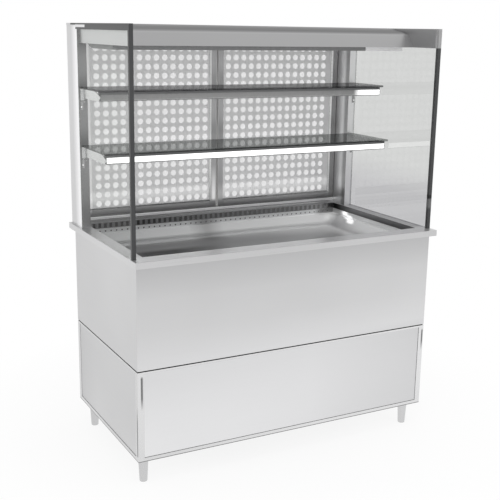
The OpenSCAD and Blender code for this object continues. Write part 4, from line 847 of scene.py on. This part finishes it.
# Painted highlight on the bevels of both door frames
for side in ("left", "right"):
    painted_light_and_shade(side + "_door_frame", bevel_highlight_steel, bevel_of_door)
# Painted shade in black: the shell's lowest faces, the gap above the frame, panel edges
shell_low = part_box("body_shell")[0]
painted_light_and_shade("body_shell", black_moulding_and_gap_shade,
              lambda middle, normal: middle.z < shell_low.z + 0.0006)
painted_light_and_shade("base_frame", black_moulding_and_gap_shade, lambda middle, normal:
              abs(normal.z) < 0.3 and frame_high.z - SHADOW_GAP < middle.z < frame_high.z)
painted_light_and_shade("front_panel", black_moulding_and_gap_shade, lambda middle, normal: abs(normal.y) < 0.3)
painted_light_and_shade("side_panels", black_moulding_and_gap_shade, lambda middle, normal: abs(normal.x) < 0.3)
pan_low, pan_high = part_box("display_pan")
# Painted shade on the neck of the well
painted_light_and_shade("rim", neck_steel, neck_of_well)

# %% [markdown]
# Screw heads are too small for the construction, but a close view misses them at
# once. Each is a short cylinder with a domed edge, from which two crossed bars are
# cut. A picture of a screw would stay flat under a moving lamp, and a full thread
# would never be seen.

# %% Tools for screw heads
HEAD_HEIGHT = 0.7
HEAD_DOME = 0.34
RECESS_TURN = 0.6
RECESS_OUT = 0.42
RECESS_BAR = (1.2, 0.5, 0.2)


def dress(piece, node, material):
    """A given finish, and the body of its neighbour node, for a new piece"""
    only(piece)
    bpy.ops.object.transform_apply(location=True, rotation=True, scale=True)
    bpy.ops.object.shade_smooth_by_angle(angle=SHARP_TURN)
    piece.data.materials.clear()
    piece.data.materials.append(material)
    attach(piece, nodes[node]["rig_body"])


def screw_head(place, radius, node, name):
    """A pan head with a cross recess, facing the rear, its sizes as shares of the radius"""
    bpy.ops.mesh.primitive_cylinder_add(vertices=32, radius=radius, depth=radius * HEAD_HEIGHT,
                                        location=place, rotation=(math.pi / 2, 0, 0))
    head = bpy.context.active_object
    edge = head.modifiers.new("dome", "BEVEL")
    edge.width = radius * HEAD_DOME
    edge.segments = 4
    bpy.ops.object.modifier_apply(modifier="dome")
    for angle in (RECESS_TURN, RECESS_TURN + math.pi / 2):
        bpy.ops.mesh.primitive_cube_add(size=1, rotation=(0, angle, 0), location=(
            Vector(place) + Vector((0, radius * RECESS_OUT, 0))))
        cutter = bpy.context.active_object
        cutter.scale = [radius * share for share in RECESS_BAR]
        only(head)
        cut = head.modifiers.new("recess", "BOOLEAN")
        cut.object = cutter
        cut.solver = "EXACT"
        bpy.ops.object.modifier_apply(modifier="recess")
        bpy.data.objects.remove(cutter)
    head.name = name
    dress(head, node, screw_steel)


print("screw tools ready")

# %% [markdown]
# Each hinge leaf is held by two screws on the door and three on the column, and the
# two rear panels by six screws each, along their upright edges.

# %% Screw heads
HINGE_SCREW = 0.0035
PANEL_SCREW = 0.0045
LEAF_FACE = 0.3705
HINGE_LINE = 0.64075
HINGE_FEET = (("low", 0.9875), ("high", 1.5635))
LEAF_SCREWS = (0.026, 0.014)
LEAF_MIDDLE = 0.033
POST_SCREWS = (0.011, 0.033, 0.055)
POST_REACH = 0.02
REAR_FACE = 0.3405
PANEL_EDGE = (0.014, 0.016)

screws = 0
for side, s in (("left", -1), ("right", 1)):
    for level, z in HINGE_FEET:
        for k, dx in enumerate(LEAF_SCREWS):
            screw_head((s * (HINGE_LINE - dx), LEAF_FACE, z + LEAF_MIDDLE), HINGE_SCREW,
                       side + "_door_frame", f"{side}_{level}_leaf_screw_{k + 1}")
        for k, dz in enumerate(POST_SCREWS):
            screw_head((s * (HINGE_LINE + POST_REACH), LEAF_FACE, z + dz), HINGE_SCREW,
                       "door_hinges", f"{side}_{level}_post_screw_{k + 1}")
        screws += 5

for node in ("control_panel", "rear_grille_panel"):
    low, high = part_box(node)
    k = 0
    for x in (low.x + PANEL_EDGE[0], high.x - PANEL_EDGE[0]):
        for z in (low.z + PANEL_EDGE[1], (low.z + high.z) / 2, high.z - PANEL_EDGE[1]):
            k += 1
            screw_head((x, REAR_FACE + 0.0008, z), PANEL_SCREW, node, f"{node}_screw_{k}")
    screws += k
print(screws, "screws made")

# %% [markdown]
# All signs on the case are made of thin bars and rings, as real pieces and not as a
# printed picture, so that they stay sharp in a close view of the rear.

# %% Tools for signs
def bar(place, size):
    """A thin flat bar that faces the rear"""
    bpy.ops.mesh.primitive_cube_add(size=1, location=place)
    piece = bpy.context.active_object
    piece.scale = size
    only(piece)
    bpy.ops.object.transform_apply(location=False, rotation=False, scale=True)
    return piece


def ring(place, lean, radius, thick, steps=32):
    """A thin ring that faces the rear, leaned back by an angle"""
    bpy.ops.mesh.primitive_torus_add(location=place, rotation=(math.pi / 2 + lean, 0, 0),
                                     major_radius=radius, minor_radius=thick,
                                     major_segments=steps, minor_segments=8)
    return bpy.context.active_object


def joined(pieces, name):
    """Several pieces as one object"""
    bpy.ops.object.select_all(action="DESELECT")
    for piece in pieces:
        piece.select_set(True)
    bpy.context.view_layer.objects.active = pieces[0]
    bpy.ops.object.join()
    piece = bpy.context.active_object
    piece.name = name
    return piece


print("sign tools ready")

# %% [markdown]
# The controller shows a lit number of seven-segment signs, like any such display. The
# strokes are thin flat bars. Letters of a font would look too smooth for it. Seen from
# the rear, +X runs to the left, so the right strokes of a sign have the lower X.

# %% Lit number of the controller
DIGIT_WIDTH = 0.0060
DIGIT_HEIGHT = 0.0055
STROKE = 0.0011
STROKE_THICK = 0.0003
STROKE_GAP = 0.0008
STROKES = {"a": (0, 1, 0), "d": (0, -1, 0), "g": (0, 0, 0), "b": (-1, 0.5, 1),
           "c": (-1, -0.5, 1), "f": (1, 0.5, 1), "e": (1, -0.5, 1)}
SIGNS = {"4": "bcfg", "C": "adef"}
key_low, key_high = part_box("button_set")
controls_z = (key_low.z + key_high.z) / 2
window_mid = key_low.x - 0.0205
window_y = REAR_FACE + 0.0021
DIGIT_AT = window_mid + 0.0060
UNIT_AT = window_mid - 0.0090
DEGREE_AT = (window_mid - 0.0012, window_y, controls_z + 0.0045)


def digit(sign, x, z):
    """One seven-segment sign with its middle at x, z"""
    pieces = []
    for key in SIGNS[sign]:
        dx, dz, upright = STROKES[key]
        size = ((STROKE, STROKE_THICK, DIGIT_HEIGHT - STROKE_GAP) if upright
                else (DIGIT_WIDTH - STROKE_GAP, STROKE_THICK, STROKE))
        pieces.append(bar((x + dx * DIGIT_WIDTH / 2, window_y, z + dz * DIGIT_HEIGHT), size))
    return pieces


lit = coated("lit_red_number", (0.55, 0.02, 0.01), 0.4, 0.0, 900)
lit_shader = lit.node_tree.nodes["Principled BSDF"]
lit_shader.inputs["Emission Color"].default_value = (1.0, 0.05, 0.02, 1)
lit_shader.inputs["Emission Strength"].default_value = 0.7
signs = digit("4", DIGIT_AT, controls_z) + digit("C", UNIT_AT, controls_z)
signs.append(ring(DEGREE_AT, 0, 0.0012, 0.0003, 24))
dress(joined(signs, "controller_number"), "control_bezels", lit)
print("number of", len(signs), "strokes made")

# %% [markdown]
# The keys of the controller carry an arrow up, an arrow down and a ring, printed in
# dark ink. A cylinder with three corners is the shortest way to an arrow head, and a
# thin torus gives the ring.

# %% Signs on the keys
ink = coated("dark_sign_ink", (0.03, 0.03, 0.035), 0.5, 0.0, 900)
for node, turned in (("button_up", 0), ("button_down", math.pi)):
    low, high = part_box(node)
    middle = ((low.x + high.x) / 2, high.y + 0.0001, (low.z + high.z) / 2)
    bpy.ops.mesh.primitive_cylinder_add(vertices=3, radius=0.0024, depth=0.0004, location=middle)
    arrow = bpy.context.active_object
    arrow.rotation_euler = (math.pi / 2, turned, 0)
    arrow.name = node + "_sign"
    dress(arrow, node, ink)
key_ring = ring(((key_low.x + key_high.x) / 2, key_high.y, controls_z), 0, 0.0020, 0.0004)
key_ring.name = "button_set_sign"
dress(key_ring, "button_set", ink)
print("three keys signed")

# %% [markdown]
# A rocker switch tips about its middle, so its two halves slope away from each other.
# The upper half has a bar for on and the lower half a ring for off. Each mark lies on
# its half: it stands out by the slope's rise and leans with it.

# %% Marks on the rocker switches
ROCKER_TILT = math.radians(8)
MARK_LEVEL = 0.0072
ROCKER_STAND = 0.0012
white_ink = coated("white_sign_ink", (0.80, 0.80, 0.80), 0.5, 0.0, 900)
lean = Matrix.Rotation(-ROCKER_TILT, 4, "X")
for node in ("power_switch", "light_switch"):
    low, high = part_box(node)
    middle = Vector(((low.x + high.x) / 2, REAR_FACE, controls_z))
    for sign, level, face in (("on", MARK_LEVEL, ROCKER_TILT), ("off", -MARK_LEVEL, -ROCKER_TILT)):
        stand = ROCKER_STAND + MARK_LEVEL * math.tan(ROCKER_TILT) + 0.0001
        place = middle + lean @ Vector((0, stand, level))
        if sign == "on":
            mark = bar(place, (0.0011, 0.0003, 0.0050))
            mark.rotation_euler = (-ROCKER_TILT - face, 0, 0)
        else:
            mark = ring(place, -ROCKER_TILT - face, 0.0022, 0.00045)
        mark.name = f"{node}_{sign}_mark"
        dress(mark, node, white_ink)
print("rockers marked")

# %% [markdown]
# The studio is a pale floor, a white surround and three soft lamps. The camera sees
# floor and surround as white paper, while their light on matt parts stays at a plain
# level. Steel sees both in soft steps of grey, which give it the slow change of tone
# that flat steel needs. A second set of walls could do that for the steel alone, but
# a switch by the kind of ray needs nothing that stands in the way.

# %% Tools for the studio
def ray_switch(tree, *kinds):
    """One for the named kinds of rays, and zero for all others"""
    path = add_node(tree, "ShaderNodeLightPath")
    total = path.outputs[kinds[0]]
    for kind in kinds[1:]:
        total = combine(tree, "ADD", total, path.outputs[kind], clamp=True)
    return total


def seen_by(tree, plain, by_steel, by_camera):
    """One shader for light on matt parts, one for steel's mirror, one for the camera"""
    mirrored = mix_shaders(tree, ray_switch(tree, "Is Glossy Ray"), plain, by_steel)
    return mix_shaders(tree, ray_switch(tree, "Is Camera Ray", "Is Transmission Ray"),
                       mirrored, by_camera)


def grey_ramp(tree, source, stops):
    """Grey tones along a value, as (place, tone) pairs"""
    ramp = add_node(tree, "ShaderNodeValToRGB")
    elements = ramp.color_ramp.elements
    while len(elements) < len(stops):
        elements.new(0.5)
    for element, (place, tone) in zip(elements, stops):
        element.position = place
        element.color = (tone, tone, tone, 1)
    tree.links.new(source, ramp.inputs["Fac"])
    return ramp.outputs["Color"]


print("studio tools ready")

# %% [markdown]
# The floor is matt white paper. Near the case the camera sees its soft contact shadow,
# and further out it fades to pure white, so that no edge shows. The steel sees it
# along Y, from eight metres in front of the case to four metres behind it.

# %% Floor
FLOOR_SIDE = 24
PAPER = (0.86, 0.86, 0.86, 1)
FADE_FROM_TO = (0.4, 1.5)
FADE_SHARE = (0.86, 1.0)
MIRRORED_FLOOR = along("Y", -8.0, 4.0)
FLOOR_GREYS = ((0.18, 0.95), (0.30, 0.60), (0.37, 0.62), (0.52, 0.97), (0.59, 1.0), (0.67, 0.84))


def floor_material():
    """White paper: the camera sees it almost white, steel sees it in soft steps of grey"""
    material, tree, shader = new_material("studio_floor")
    shader.inputs["Base Color"].default_value = PAPER
    shader.inputs["Roughness"].default_value = 0.9
    shader.inputs["Specular IOR Level"].default_value = 0.0
    place = add_node(tree, "ShaderNodeTexCoord")
    reach = add_node(tree, "ShaderNodeVectorMath", operation="LENGTH")
    tree.links.new(place.outputs["Object"], reach.inputs[0])
    fade = new_range(tree, reach.outputs["Value"], FADE_FROM_TO, FADE_SHARE)
    white = add_node(tree, "ShaderNodeEmission")
    faded = mix_shaders(tree, fade, shader.outputs["BSDF"], white.outputs["Emission"])
    greys = add_node(tree, "ShaderNodeEmission")
    tree.links.new(grey_ramp(tree, object_axis(tree, *MIRRORED_FLOOR), FLOOR_GREYS),
                   greys.inputs["Color"])
    tree.links.new(seen_by(tree, shader.outputs["BSDF"], greys.outputs["Emission"], faded),
                   tree.nodes["Material Output"].inputs["Surface"])
    return material


bpy.ops.mesh.primitive_plane_add(size=FLOOR_SIDE, location=(0, 0, 0))
floor = bpy.context.active_object
floor.name = "studio_floor"
floor.data.materials.append(floor_material())
print("floor of", FLOOR_SIDE, "m laid")

# %% [markdown]
# The surround has no walls: it is the world's background, which has no seams and
# costs no time. By height, the steel sees it pale near the floor and darker above, as
# walls and ceiling are in a room that is lit from low windows.

# %% Surround
MATT_LIGHT = 0.70
WALL_GREYS = ((0.0, 0.90), (0.12, 0.72), (0.30, 0.64), (0.55, 0.56), (0.95, 0.54))


def backdrop(tree, strength):
    """A white background of a given strength"""
    node = add_node(tree, "ShaderNodeBackground")
    node.inputs["Color"].default_value = WHITE
    node.inputs["Strength"].default_value = strength
    return node


world = bpy.context.scene.world or bpy.data.worlds.new("studio_world")
bpy.context.scene.world = world
world.use_nodes = True
tree = world.node_tree
tree.nodes.clear()
matt = backdrop(tree, MATT_LIGHT)
paper = backdrop(tree, 1.0)
walls = backdrop(tree, 1.0)
place = add_node(tree, "ShaderNodeTexCoord")
split = add_node(tree, "ShaderNodeSeparateXYZ")
tree.links.new(place.outputs["Generated"], split.inputs["Vector"])
tree.links.new(grey_ramp(tree, split.outputs["Z"], WALL_GREYS), walls.inputs["Color"])
output = add_node(tree, "ShaderNodeOutputWorld")
tree.links.new(seen_by(tree, matt.outputs["Background"], walls.outputs["Background"],
                       paper.outputs["Background"]), output.inputs["Surface"])
print("surround set, light on matt parts", MATT_LIGHT)

# %% [markdown]
# Three soft boxes light the case: a key from the front left, a weaker fill from the
# front right that keeps the far side readable, and one overhead. Large squares give
# soft shadows. Neither camera nor steel sees them, because steel would show each as a
# hard white square.

# %% Lamps
AIM = (0, 0, 0.9)


def soft_lamp(name, place, size, power):
    """A square soft box that points at the middle of the case"""
    bpy.ops.object.light_add(type="AREA", location=place)
    lamp = bpy.context.active_object
    lamp.name = name
    lamp.data.size = size
    lamp.data.energy = power
    lamp.rotation_euler = (Vector(AIM) - Vector(place)).to_track_quat("-Z", "Y").to_euler()
    lamp.visible_camera = False
    lamp.visible_glossy = False
    print(name, power, "W")


soft_lamp("key_lamp", (-3.2, -3.6, 3.6), 2.4, 60)
soft_lamp("fill_lamp", (2.8, -3.8, 2.2), 2.6, 30)
soft_lamp("top_lamp", (0.2, -0.6, 4.4), 2.6, 40)

bpy.context.scene.view_settings.view_transform = "Standard"
